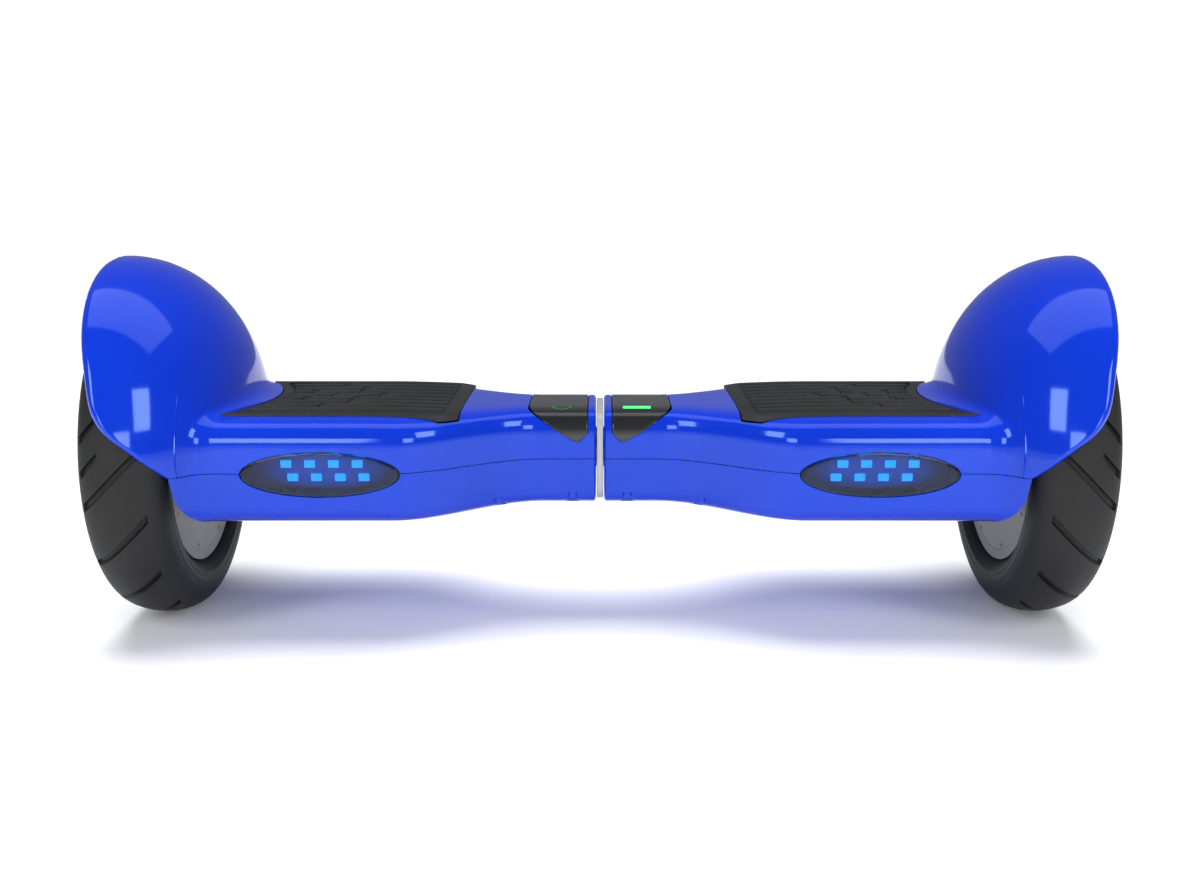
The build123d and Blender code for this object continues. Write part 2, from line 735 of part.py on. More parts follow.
def charge_port_cap():
    """Hinged rubber cap over the charge inlet."""
    cap = rod_y(12.2, port_face + 0.4, port_face + 3.0, port_x, port_z)
    cap += block(port_x + 8, cap_hinge_x, port_face + 1.0, port_face + 3.0, port_z - 4, port_z + 4)
    cap += rod_z(1.5, port_z - 4, port_z + 4, cap_hinge_x, cap_hinge_y)
    cap += rod_y(1.6, port_face + 2.5, port_face + 4.2, port_x - 8, port_z)
    return cap


def power_button():
    button = rod_y(port_hole - 0.5, 36, port_face + 1.4, port_x, port_z)
    button = fillet(button.edges().filter_by(GeomType.CIRCLE).group_by(Axis.Y)[-1], 1.2)
    return button


def mirrored(shape):
    return mirror(shape, about=Plane.YZ)


def save(shape, name):
    if len(shape.solids()) > 1:
        shape = Compound(children=list(shape.solids()))
    export_step(shape, f"parts/{name}.step")


def main():
    both = {
        "upper_shell": upper_shell(),
        "axle_clamp": axle_clamp(),
        "clamp_bolts": clamp_bolts(),
        "axle": axle(),
        "stator": stator(),
        "windings": windings(),
        "gyro_board": gyro_board(),
        "headlight_lens": headlight_lens(),
        "headlight_module": headlight_module(),
        "shell_screws": shell_screws(),
        "motor_cable": motor_cable(),
        "foot_mat": foot_mat(),
        "tyre": tyre(),
        "rim": rim(),
        "magnet_ring": magnet_ring(),
        "motor_cover": motor_cover(),
        "cover_screws": cover_screws(),
        "wheel_bearings": wheel_bearings(),
        "valve": valve(),
        "hub_cap": hub_cap(),
    }
    for name, shape in both.items():
        save(shape, f"right_{name}")
        save(mirrored(shape), f"left_{name}")

    save(lower_shell(False), "right_lower_shell")
    save(mirrored(lower_shell(True)), "left_lower_shell")
    stop_hole = rod_z(stop_pin_radius, twist_z + 10, twist_z + 23, stop_pin_x, 0)
    save(chassis(bush_radius) - stop_hole, "right_chassis")
    save(mirrored(chassis(shaft_radius)), "left_chassis")
    save(status_panel("bar"), "right_status_panel")
    save(mirrored(status_panel("ring")), "left_status_panel")
    save(indicator("bar"), "battery_indicator")
    save(mirrored(indicator("ring")), "power_indicator")
    save(center_shaft(), "center_shaft")
    save(shaft_ring(), "shaft_ring")
    save(center_washer(), "center_washer")
    save(shaft_bushes(), "shaft_bushes")
    save(twist_stop_pin(), "twist_stop_pin")
    save(mirrored(battery_pack()), "battery_pack")
    save(mirrored(battery_lead()), "battery_lead")
    save(center_harness(), "center_harness")
    save(main_board(), "main_board")
    collar, sleeves = charge_socket()
    save(mirrored(joined([collar, *sleeves])), "charge_socket")
    save(mirrored(charge_port_cap()), "charge_port_cap")
    save(power_button(), "power_button")


main()
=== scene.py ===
import bmesh
import bpy
import json
import math
from mathutils import Matrix, Vector


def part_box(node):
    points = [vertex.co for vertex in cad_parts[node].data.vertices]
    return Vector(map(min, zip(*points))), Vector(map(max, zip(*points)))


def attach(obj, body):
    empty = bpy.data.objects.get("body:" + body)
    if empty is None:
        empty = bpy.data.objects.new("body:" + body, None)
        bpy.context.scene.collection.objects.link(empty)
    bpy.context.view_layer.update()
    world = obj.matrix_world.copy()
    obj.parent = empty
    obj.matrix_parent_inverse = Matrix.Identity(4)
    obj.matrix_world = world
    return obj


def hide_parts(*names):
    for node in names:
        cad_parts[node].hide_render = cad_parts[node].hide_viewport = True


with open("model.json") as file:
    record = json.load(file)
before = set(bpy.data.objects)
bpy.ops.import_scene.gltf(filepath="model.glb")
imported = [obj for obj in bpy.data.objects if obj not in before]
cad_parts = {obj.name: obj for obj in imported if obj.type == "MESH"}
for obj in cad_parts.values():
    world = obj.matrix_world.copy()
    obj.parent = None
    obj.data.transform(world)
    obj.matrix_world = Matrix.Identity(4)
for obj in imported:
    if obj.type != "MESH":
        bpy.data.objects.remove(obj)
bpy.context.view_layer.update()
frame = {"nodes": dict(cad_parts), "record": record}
nodes = frame["nodes"]

# Places taken from the frame, in metres. The right half is made at +X and mirrored for the left.
tyreLow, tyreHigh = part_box("right_tyre")
shellLow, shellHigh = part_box("right_upper_shell")
lowerLow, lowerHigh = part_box("right_lower_shell")
matLow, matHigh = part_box("right_foot_mat")
wheelX = (tyreLow.x + tyreHigh.x) / 2
axleZ = (tyreLow.z + tyreHigh.z) / 2
partZ = lowerHigh.z
deckZ = matHigh.z
mm = 0.001
sides = {"left": -1, "right": 1}


def signedPower(value, power):
    return math.copysign(abs(value) ** power, value)


def eased(value):
    value = min(max(value, 0.0), 1.0)
    return value * value * (3 - 2 * value)


# Height of a smooth line through a few (place, height) points.
def curveAt(points, value):
    last = len(points) - 1
    if value <= points[0][0]:
        return points[0][1]
    if value >= points[last][0]:
        return points[last][1]
    i = max(k for k in range(last) if points[k][0] <= value)
    x0, y0 = points[i]
    x1, y1 = points[i + 1]
    before = points[max(i - 1, 0)]
    after = points[min(i + 2, last)]
    slope0 = (y1 - before[1]) / (x1 - before[0])
    slope1 = (after[1] - y0) / (after[0] - x0)
    t = (value - x0) / (x1 - x0)
    run = x1 - x0
    return ((2 * t ** 3 - 3 * t ** 2 + 1) * y0 + (t ** 3 - 2 * t ** 2 + t) * run * slope0
            + (3 * t ** 2 - 2 * t ** 3) * y1 + (t ** 3 - t ** 2) * run * slope1)


# A grid of quads whose corners are moved to place(row, column).
def placedGrid(rows, columns, place, closed=False):
    bm = bmesh.new()
    bmesh.ops.create_grid(bm, x_segments=columns, y_segments=rows, size=1.0)
    bm.verts.ensure_lookup_table()
    order = sorted(bm.verts, key=lambda v: (round(v.co.y, 5), round(v.co.x, 5)))
    for index, vert in enumerate(order):
        vert.co = place(index // (columns + 1), index % (columns + 1))
    if closed:
        bmesh.ops.remove_doubles(bm, verts=bm.verts, dist=0.00001)
    return bm


# Turns an open sheet so that its faces look the way outward(centre) points.
def faceOut(bm, outward):
    bmesh.ops.recalc_face_normals(bm, faces=bm.faces)
    bm.faces.ensure_lookup_table()
    votes = sum(1 if f.normal.dot(outward(f.calc_center_median())) > 0 else -1 for f in bm.faces)
    if votes < 0:
        bmesh.ops.reverse_faces(bm, faces=bm.faces)


def toSide(bm, sign):
    if sign < 0:
        bmesh.ops.scale(bm, vec=(-1, 1, 1), verts=bm.verts)
        bmesh.ops.reverse_faces(bm, faces=bm.faces)


def meshObject(name, bm, sign=1):
    toSide(bm, sign)
    mesh = bpy.data.meshes.new(name)
    bm.to_mesh(mesh)
    bm.free()
    piece = bpy.data.objects.new(name, mesh)
    bpy.context.scene.collection.objects.link(piece)
    return piece


# Bakes the piece's modifiers into its mesh.
def applyModifiers(piece):
    graph = bpy.context.evaluated_depsgraph_get()
    made = bpy.data.meshes.new_from_object(piece.evaluated_get(graph))
    old = piece.data
    piece.modifiers.clear()
    piece.data = made
    bpy.data.meshes.remove(old)


def thicken(piece, thickness, even=True):
    wall = piece.modifiers.new("wall", "SOLIDIFY")
    wall.thickness = thickness
    wall.offset = -1
    wall.use_even_offset = even


def roundEdges(piece, width, segments=2, angle=35):
    soft = piece.modifiers.new("edges", "BEVEL")
    soft.width = width
    soft.segments = segments
    soft.limit_method = "ANGLE"
    soft.angle_limit = math.radians(angle)


# Cuts the cutters out of a closed piece, then removes them.
def carve(piece, cutters, own=False):
    for cutter in cutters:
        cut = piece.modifiers.new("cut", "BOOLEAN")
        cut.operation = "DIFFERENCE"
        cut.solver = "EXACT"
        cut.use_self = own
        cut.object = cutter
    applyModifiers(piece)
    for cutter in cutters:
        mesh = cutter.data
        bpy.data.objects.remove(cutter)
        bpy.data.meshes.remove(mesh)


# Joins finished meshes into one piece.
def joinPieces(name, pieces):
    bm = bmesh.new()
    for piece in pieces:
        bm.from_mesh(piece.data)
    for piece in pieces:
        mesh = piece.data
        bpy.data.objects.remove(piece)
        bpy.data.meshes.remove(mesh)
    return meshObject(name, bm)


def finishPiece(piece, material, body, stands=(), angle=32):
    piece.data.materials.clear()
    piece.data.materials.append(material)
    for face in piece.data.polygons:
        face.use_smooth = True
        face.material_index = 0
    piece.data.set_sharp_from_angle(angle=math.radians(angle))
    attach(piece, body)
    if stands:
        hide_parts(*stands)
    return piece


def cylinderBetween(bm, start, end, radius, segments=32):
    start, end = Vector(start), Vector(end)
    run = end - start
    turn = run.to_track_quat("Z", "Y").to_matrix().to_4x4()
    bmesh.ops.create_cone(bm, cap_ends=True, segments=segments, radius1=radius, radius2=radius,
                          depth=run.length, matrix=Matrix.Translation((start + end) / 2) @ turn)


def blankMaterial(name):
    material = bpy.data.materials.new(name)
    material.use_nodes = True
    tree = material.node_tree
    shader = tree.nodes["Principled BSDF"]
    return material, tree, shader


def noiseNode(tree, scale, detail=3.0, rough=0.5, stretch=(1, 1, 1)):
    where = tree.nodes.new("ShaderNodeTexCoord")
    mapping = tree.nodes.new("ShaderNodeMapping")
    mapping.inputs["Scale"].default_value = stretch
    noise = tree.nodes.new("ShaderNodeTexNoise")
    noise.inputs["Scale"].default_value = scale
    noise.inputs["Detail"].default_value = detail
    noise.inputs["Roughness"].default_value = rough
    tree.links.new(where.outputs["Object"], mapping.inputs["Vector"])
    tree.links.new(mapping.outputs["Vector"], noise.inputs["Vector"])
    return noise


def ramp(tree, source, low, high, start=0.3, end=0.7):
    node = tree.nodes.new("ShaderNodeMapRange")
    node.inputs["From Min"].default_value = start
    node.inputs["From Max"].default_value = end
    node.inputs["To Min"].default_value = low
    node.inputs["To Max"].default_value = high
    tree.links.new(source, node.inputs["Value"])
    return node.outputs["Result"]


def colourMix(tree, factor, first, second):
    mix = tree.nodes.new("ShaderNodeMix")
    mix.data_type = "RGBA"
    mix.inputs["A"].default_value = (*first, 1)
    mix.inputs["B"].default_value = (*second, 1)
    tree.links.new(factor, mix.inputs["Factor"])
    return mix.outputs["Result"]


def mathNode(tree, operation, *values):
    node = tree.nodes.new("ShaderNodeMath")
    node.operation = operation
    for slot, value in zip(node.inputs, values):
        if isinstance(value, float):
            slot.default_value = value
        else:
            tree.links.new(value, slot)
    return node.outputs["Value"]


def bumpFrom(tree, shader, height, strength, distance=0.001):
    bump = tree.nodes.new("ShaderNodeBump")
    bump.inputs["Strength"].default_value = strength
    bump.inputs["Distance"].default_value = distance
    tree.links.new(height, bump.inputs["Height"])
    tree.links.new(bump.outputs["Normal"], shader.inputs["Normal"])


# A finish with colour drift, uneven gloss and a fine grain.
def grainyMaterial(name, first, second, roughness, grain, bump=0.2, metallic=0.0, coat=0.0,
                   stretch=(1, 1, 1), distance=0.0004, specular=0.5):
    material, tree, shader = blankMaterial(name)
    shader.inputs["Metallic"].default_value = metallic
    shader.inputs["Coat Weight"].default_value = coat
    shader.inputs["Coat Roughness"].default_value = 0.06
    shader.inputs["Specular IOR Level"].default_value = specular
    drift = noiseNode(tree, 18, 4)
    tree.links.new(colourMix(tree, ramp(tree, drift.outputs["Fac"], 0, 1), first, second),
                   shader.inputs["Base Color"])
    fine = noiseNode(tree, grain, 3, 0.6, stretch)
    tree.links.new(ramp(tree, fine.outputs["Fac"], roughness * 0.85, roughness * 1.15),
                   shader.inputs["Roughness"])
    bumpFrom(tree, shader, fine.outputs["Fac"], bump, distance)
    return material


casing = dict(
    neckDepth=0.046, deckDepth=0.097, neckTop=0.0355, neckBottom=0.0360,
    flareStart=0.042, flareEnd=0.146, crest=0.167, topPower=6.0, bottomPower=5.5,
    dishX=0.352, dishRise=0.030, dishLength=0.093, dishHeight=0.111, fillet=0.013,
    lipTop=0.0055, lipLow=0.0035, lipBend=115, wall=0.0020, lowerWall=0.0028, shaftHole=0.0165,
    gapEdge=0.0012, seam=0.0005, bodyRows=46, filletRows=7, dishRows=30, lipRows=6, lowerRows=64,
    upperColumns=84, lowerColumns=72,
)
# Front view of the fender's lower edge, and of the lower shell's outer end: place and height.
fenderEdge = [(0.124, 0.2930), (0.1355, 0.3040), (0.1456, 0.3135), (0.1555, 0.3240), (0.163, 0.3300),
              (0.174, 0.3355), (0.197, 0.3415), (0.222, 0.3485), (0.243, 0.3535), (0.262, 0.3570)]
footEnd = [(0.083, 0.2640), (0.0865, 0.2760), (0.0955, 0.2840), (0.108, 0.2895), (0.124, 0.2930)]
# How the lower shell closes at that end: share of the section, and step outwards.
endCap = [(0.985, 0.00072), (0.95, 0.0016), (0.6, 0.0016), (0.13, 0.0016)]


def flare(x, end):
    c = casing
    return eased((x - c["flareStart"]) / (end - c["flareStart"]))


def deckHalfDepth(x):
    c = casing
    return c["neckDepth"] + (c["deckDepth"] - c["neckDepth"]) * flare(x, c["flareEnd"])


def topRise(x):
    c = casing
    return c["neckTop"] + (deckZ - partZ - c["neckTop"]) * flare(x, c["crest"])


def bottomDrop(x):
    c = casing
    return c["neckBottom"] + (partZ - lowerLow.z - c["neckBottom"]) * flare(x, c["flareEnd"])


def dishCurve(angle):
    c = casing
    return (c["dishX"] - c["dishLength"] * math.cos(angle),
            c["dishRise"] + c["dishHeight"] * math.sin(angle))


# Outer surface of the upper half above the deck's outline: turn runs from 0, front, to pi, back.
def topPoint(x, turn, inset=0.0):
    power = 2 / casing["topPower"]
    y = -(deckHalfDepth(x) - inset) * signedPower(math.cos(turn), power)
    z = (topRise(x) - inset) * signedPower(max(math.sin(turn), 0), power)
    return Vector((x, y, partZ + z))


# Column turns over a section, even in direction and closer together at the rounded corners.
def columnTurns(place, power, count):
    fine = 900
    turns = []
    for k in range(fine + 1):
        way = math.pi / 2 * k / fine
        turns.append(math.atan(math.tan(way) ** (power / 2)) if k < fine else math.pi / 2)
    points = [place(0.2, turn) - Vector((0.2, 0, partZ)) for turn in turns]
    headings = [abs(math.atan2(abs(b.z - a.z), abs(b.y - a.y))) for a, b in zip(points, points[1:])]
    total = [0.0]
    for k in range(len(points) - 1):
        swing = abs(headings[k] - headings[max(k - 1, 0)])
        total.append(total[-1] + points[k].angle(points[k + 1]) + min(swing, 0.1))
    made = [0.0]
    half = count // 2
    for k in range(1, half):
        wanted = total[-1] * k / half
        i = max(n for n in range(len(total) - 1) if total[n] <= wanted)
        share = (wanted - total[i]) / max(total[i + 1] - total[i], 1e-9)
        made.append(turns[i] + (turns[i + 1] - turns[i]) * share)
    return made + [math.pi / 2] + [math.pi - turn for turn in reversed(made)]


def fenderLimit(z):
    return curveAt(fenderEdge, z)


# One line of the upper shell, from the middle of the board over the deck and up the fender.
def upperColumn(turn):
    c = casing
    start = shellLow.x
    base = topPoint(0.25, turn) - Vector((0.25, 0, partZ))
    reach = base.length
    way = base / reach
    lift = axleZ - partZ

    def radial(distance):
        return lift * way.z + math.sqrt(max(distance ** 2 - lift ** 2 * (1 - way.z ** 2), 0))

    def at(x, r):
        return Vector((x, way.y * r, partZ + way.z * r))

    fromAxle = math.hypot(reach * way.y, reach * way.z - lift)
    corner = math.asin(min(max((fromAxle - c["dishRise"]) / c["dishHeight"], 0), 1))
    cornerX = dishCurve(corner)[0]
    low, high = corner, corner + 0.4
    for _ in range(30):
        mid = (low + high) / 2
        x, distance = dishCurve(mid)
        if math.hypot(x - cornerX, radial(distance) - reach) < c["fillet"]:
            low = mid
        else:
            high = mid
    joinAngle = low

    column = [at(start, c["shaftHole"])]
    inner = topPoint(start, turn, c["gapEdge"])
    column += [inner, topPoint(start + c["gapEdge"], turn)]
    filletX = cornerX - c["fillet"]
    for k in range(1, c["bodyRows"] + 1):
        x = start + c["gapEdge"] + (filletX - start - c["gapEdge"]) * k / c["bodyRows"]
        column.append(topPoint(x, turn))
    joinX, joinRho = dishCurve(joinAngle)
    joinR = radial(joinRho)
    for k in range(1, c["filletRows"] + 1):
        t = k / c["filletRows"]
        x = (1 - t) ** 2 * filletX + 2 * t * (1 - t) * cornerX + t ** 2 * joinX
        r = (1 - t) ** 2 * reach + 2 * t * (1 - t) * reach + t ** 2 * joinR
        column.append(at(x, r))

    def beyond(angle, roll):
        x, distance = dishCurve(angle)
        return x + roll - fenderLimit(at(x, radial(distance)).z)

    roll = c["lipLow"] + (c["lipTop"] - c["lipLow"]) * math.sin(turn)
    low, high = joinAngle, math.pi / 2
    if beyond(high, roll) > 0:
        for _ in range(40):
            mid = (low + high) / 2
            if beyond(mid, roll) < 0:
                low = mid
            else:
                high = mid
    endAngle = high
    for k in range(1, c["dishRows"] + 1):
        x, distance = dishCurve(joinAngle + (endAngle - joinAngle) * k / c["dishRows"])
        column.append(at(x, radial(distance)))
    end = column[-1]
    ahead = (end - column[-2]).normalized()
    inward = ahead.cross(Vector((0, way.z, -way.y))).normalized()
    if inward.dot(way) > 0:
        inward = -inward
    for k in range(1, c["lipRows"] + 1):
        bend = math.radians(c["lipBend"]) * k / c["lipRows"]
        column.append(end + roll * (ahead * math.sin(bend) + inward * (1 - math.cos(bend))))
    return column


# The upper shell's edge on the parting plane, which the lower shell meets.
def sideLine():
    return [(p.x, -p.y) for p in upperColumn(0.0)[2:-casing["lipRows"]]]


partingLine = sideLine()


# Half depth of the lower shell at the parting plane.
def footDepth(x):
    if x <= partingLine[0][0]:
        return partingLine[0][1]
    for (x0, d0), (x1, d1) in zip(partingLine, partingLine[1:]):
        if x0 <= x <= x1:
            return d0 + (d1 - d0) * (x - x0) / max(x1 - x0, 1e-9)
    return partingLine[-1][1]


def bottomPoint(x, turn, inset=0.0):
    power = 2 / casing["bottomPower"]
    y = -(footDepth(x) - inset) * signedPower(math.cos(turn), power)
    seam = casing["seam"]
    z = seam + (bottomDrop(x) - seam - inset) * signedPower(max(math.sin(turn), 0), power)
    return Vector((x, y, partZ - z))


# One line of the lower shell, from the middle of the board to its slanted end by the wheel.
def lowerColumn(turn):
    c = casing
    start = shellLow.x
    way = bottomPoint(0.2, turn) - Vector((0.2, 0, partZ))
    way.normalize()
    column = [Vector((start, way.y * c["shaftHole"], partZ + way.z * c["shaftHole"]))]
    column += [bottomPoint(start, turn, c["gapEdge"]), bottomPoint(start + c["gapEdge"], turn)]
    endX = 0.28
    for _ in range(25):
        endX = 0.5 * endX + 0.5 * curveAt(footEnd, bottomPoint(endX, turn).z)
    for k in range(1, c["lowerRows"] + 1):
        t = k / c["lowerRows"]
        x = start + c["gapEdge"] + (endX - start - c["gapEdge"]) * t
        column.append(bottomPoint(x, turn))
    end = column[-1]
    middleZ = partZ + 0.003
    for share, step in endCap:
        column.append(Vector((end.x + step, end.y * share, middleZ + (end.z - middleZ) * share)))
    return column


def fromColumns(columns):
    return placedGrid(len(columns[0]) - 1, len(columns) - 1, lambda row, column: columns[column][row])


innerWall = dict(fromTip=0.0665, gap=0.0012, hole=0.012, thick=0.0025, rows=6, columns=64)


# The wall between the fender's hollow and the electronics, with the axle's hole.
def wheelWall():
    w = innerWall
    x = shellHigh.x - w["fromTip"]
    outer = []
    for turn in columnTurns(topPoint, casing["topPower"], w["columns"]):
        way = (topPoint(0.25, turn) - Vector((0.25, 0, partZ))).normalized()
        run = (casing["dishX"] - x) / casing["dishLength"]
        distance = casing["dishRise"] + casing["dishHeight"] * math.sqrt(1 - run * run) - w["gap"]
        outer.append((way, distance))

    def place(row, column):
        way, distance = outer[column]
        r = w["hole"] + (distance - w["hole"]) * row / w["rows"]
        return Vector((x, way.y * r, partZ + way.z * r + 0.0002))

    bm = placedGrid(w["rows"], w["columns"], place)
    faceOut(bm, lambda p: Vector((1, 0, 0)))
    return bm


mat = dict(ribs=9, ribWidth=0.0080, border=0.0085, rise=0.0016, sink=0.00028, notch=0.0045,
           corner=0.009, hollow=0.022, edge=0.0065, bottom=0.0063, rounding=0.0007, ribRounding=0.0011,
           ribDeep=0.004, break1=0.200, stagger=0.018, bendStep=0.012)


# Plan of the foot mat as a closed loop: straight sides, round inner corners, hollow outer end.
def matOutline(grow, rows=18):
    x0, x1, y = matLow.x - grow, matHigh.x + grow, matHigh.y + grow
    corner = mat["corner"] + grow
    sideSteps = [x0 + corner + 0.004 * k for k in range(1, 6)]

    def beside(x):
        return min(y, deckHalfDepth(x) - mat["edge"] + grow)

    points = []
    for k in range(7):
        turn = math.pi + math.pi / 2 * k / 6
        points.append((x0 + corner + corner * math.cos(turn), -y + corner + corner * math.sin(turn)))
    points += [(x, -y) for x in sideSteps]
    waist = x1 - mat["hollow"]
    for k in range(rows + 1):
        t = -1 + 2 * k / rows
        points.append((waist + (x1 - waist) * t * t, y * t))
    points += [(x, y) for x in reversed(sideSteps)]
    for k in range(7):
        turn = math.pi / 2 + math.pi / 2 * k / 6
        points.append((x0 + corner + corner * math.cos(turn), y - corner + corner * math.sin(turn)))
    return [(x, math.copysign(min(abs(v), beside(x)), v)) for x, v in points]


# An upright prism over a closed plan.
def outlinePrism(name, points, low, high, sign=1):
    bm = bmesh.new()
    loop = [bm.verts.new((x, y, low)) for x, y in points]
    face = bm.faces.new(loop)
    grown = bmesh.ops.extrude_face_region(bm, geom=[face])
    bmesh.ops.translate(bm, vec=(0, 0, high - low),
                        verts=[v for v in grown["geom"] if isinstance(v, bmesh.types.BMVert)])
    bmesh.ops.recalc_face_normals(bm, faces=bm.faces)
    return meshObject(name, bm, sign)


lens = dict(x=0.1934, z=0.123, halfLength=0.055, halfHeight=0.0155, groove=0.0006, swell=0.0003,
            thick=0.0026, rounding=0.0004, columns=96, rows=10, cutY=-0.092, cutDeep=0.03)


def lensCutter(sign):
    bm = bmesh.new()
    turn = Matrix.Rotation(math.pi / 2, 4, "X")
    middle = Matrix.Translation((lens["x"], lens["cutY"], lens["z"]))
    bmesh.ops.create_cone(bm, cap_ends=True, segments=lens["columns"], radius1=1, radius2=1,
                          depth=lens["cutDeep"], matrix=middle @ turn)
    grow = lens["groove"]
    for vert in bm.verts:
        vert.co.x = lens["x"] + (vert.co.x - lens["x"]) * (lens["halfLength"] + grow)
        vert.co.z = lens["z"] + (vert.co.z - lens["z"]) * (lens["halfHeight"] + grow)
    bmesh.ops.recalc_face_normals(bm, faces=bm.faces)
    return meshObject("cutter", bm, sign)


# Status panel: a triangle that folds over the top edge. Its outer side is a curve of place by height.
panel = dict(inner=0.0092, tipZ=0.1362, groove=0.0007, thick=0.0022, proud=0.0002, backTurn=2.25,
             rounding=0.0004, cutLift=0.0015, cutDeep=0.0042, lean=0.45, rowSpread=0.85)
panelSide = [(0.1362, 0.0172), (0.1385, 0.0225), (0.1455, 0.0330), (0.1525, 0.0425),
             (0.1575, 0.0490), (0.1595, 0.0520)]
panelInside = [(0.1362, 0.0160), (0.1372, 0.0122), (0.1395, 0.0102), (0.1430, 0.0094),
               (0.1480, 0.0092)]


# A sheet on the casing's surface, cut to the panel's outline.
def panelGrid(grow, lift, rows=44, columns=18):
    power = 2 / casing["topPower"]
    tip = (panel["tipZ"] - grow - partZ) / topRise(0.012)
    firstTurn = math.asin(min(tip, 1) ** (1 / power))

    def place(row, column):
        share = (row / rows) ** panel["rowSpread"]
        turn = firstTurn + (panel["backTurn"] + grow * 4 - firstTurn) * share
        outer, inner = panelSide[-1][1], panel["inner"]
        if turn < math.pi / 2:
            height = topPoint(0.02, turn).z + grow
            outer, inner = curveAt(panelSide, height), curveAt(panelInside, height)
        outer, inner = outer + grow, inner - grow
        x = inner + (outer - inner) * column / columns
        point = topPoint(x, turn)
        out = Vector((0, point.y * panel["lean"], point.z - partZ)).normalized()
        return point + out * lift

    bm = placedGrid(rows, columns, place)
    faceOut(bm, lambda p: Vector((0, p.y, p.z - partZ)))
    return bm


def panelCutter(sign):
    piece = meshObject("cutter", panelGrid(panel["groove"], panel["cutLift"]), sign)
    thicken(piece, panel["cutDeep"])
    applyModifiers(piece)
    return piece


screws = dict(places=(0.020, 0.073, 0.1385, 0.225, 0.279), across=0.80, low=0.070, top=0.0955,
              radius=0.0046, notchRadius=0.0034, notchRise=0.0105, notchIn=0.0008)


# Round notches for the casing screws along the lower edges.
def recessCutters(sign):
    s = screws
    bm = bmesh.new()
    for x in s["places"]:
        for front in (-1, 1):
            y = front * s["across"] * footDepth(x)
            cylinderBetween(bm, (x, y, s["low"]), (x, y, s["top"]), s["radius"])
            edge = front * (footDepth(x) - s["notchIn"])
            low = partZ - bottomDrop(x)
            cylinderBetween(bm, (x, edge, low - 0.01), (x, edge, low + s["notchRise"]), s["notchRadius"])
    return meshObject("cutter", bm, sign)


def roundCutter(start, end, radius, sign):
    bm = bmesh.new()
    cylinderBetween(bm, start, end, radius, 48)
    return meshObject("cutter", bm, sign)


buttonLow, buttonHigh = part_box("power_button")
controls = dict(x=(buttonLow.x + buttonHigh.x) / 2, z=(buttonLow.z + buttonHigh.z) / 2, hole=0.0128)
tray = dict(gap=0.0006, cutLow=0.012, cutHigh=0.020, grow=0.0020, low=0.0112, high=0.0092)


def makeUpperShell(side, sign, paint):
    turns = columnTurns(topPoint, casing["topPower"], casing["upperColumns"])
    bm = fromColumns([upperColumn(turn) for turn in turns])
    faceOut(bm, lambda p: p - Vector((min(p.x, 0.30), 0, partZ)))
    upper = meshObject("upperSkin", bm, sign)
    thicken(upper, casing["wall"])
    applyModifiers(upper)
    matCutter = outlinePrism("cutter", matOutline(tray["gap"]), deckZ - tray["cutLow"],
                             deckZ + tray["cutHigh"], sign)
    carve(upper, [matCutter, lensCutter(sign), panelCutter(sign)])
    wall = meshObject("wheelWall", wheelWall(), sign)
    thicken(wall, innerWall["thick"])
    applyModifiers(wall)
    floor = outlinePrism("tray", matOutline(tray["grow"]), deckZ - tray["low"], deckZ - tray["high"], sign)
    upper = joinPieces(side + "_upper_casing", [upper, wall, floor])
    finishPiece(upper, paint, side + "_half", [side + "_upper_shell"])


def makeLowerShell(side, sign, paint):
    turns = columnTurns(bottomPoint, casing["bottomPower"], casing["lowerColumns"])
    bm = fromColumns([lowerColumn(turn) for turn in turns])
    faceOut(bm, lambda p: p - Vector((min(p.x, 0.26), 0, partZ)))
    lower = meshObject("lowerSkin", bm, sign)
    thicken(lower, casing["lowerWall"], False)
    applyModifiers(lower)
    portX, portZ = controls["x"], controls["z"]
    hole = roundCutter((portX, 0.030, portZ), (portX, 0.070, portZ), controls["hole"], sign)
    carve(lower, [lensCutter(sign), recessCutters(sign), hole], True)
    lower = joinPieces(side + "_lower_casing", [lower])
    finishPiece(lower, paint, side + "_half", [side + "_lower_shell"])


def makeShells(paint):
    for side, sign in sides.items():
        makeUpperShell(side, sign, paint)
        makeLowerShell(side, sign, paint)
    print("casing made")


seal = dict(halfWidth=0.0024, inset=0.0022, rounding=0.0008, hole=0.0152, columns=48)


# The pale disc between the two halves, which follows the neck's section.
def makeSeal(material):
    bm = bmesh.new()
    turns = columnTurns(topPoint, casing["topPower"], seal["columns"])
    over = [topPoint(0.004, turn, seal["inset"]) for turn in turns]
    turns = columnTurns(bottomPoint, casing["bottomPower"], seal["columns"])
    under = [bottomPoint(0.004, turn, seal["inset"]) for turn in reversed(turns)]
    loop = [bm.verts.new((-seal["halfWidth"], p.y, p.z)) for p in over[:-1] + under[:-1]]
    face = bm.faces.new(loop)
    grown = bmesh.ops.extrude_face_region(bm, geom=[face])
    bmesh.ops.translate(bm, vec=(2 * seal["halfWidth"], 0, 0),
                        verts=[v for v in grown["geom"] if isinstance(v, bmesh.types.BMVert)])
    bmesh.ops.recalc_face_normals(bm, faces=bm.faces)
    piece = meshObject("joint_seal", bm)
    hole = roundCutter((-0.01, 0, partZ), (0.01, 0, partZ), seal["hole"], 1)
    carve(piece, [hole])
    roundEdges(piece, seal["rounding"], 2, 60)
    applyModifiers(piece)
    finishPiece(piece, material, "left_half", ["center_washer"], 40)
    print("seal made")


# Height of the deck, which the mat follows down towards the neck.
def matSurface(x):
    return partZ + topRise(x)


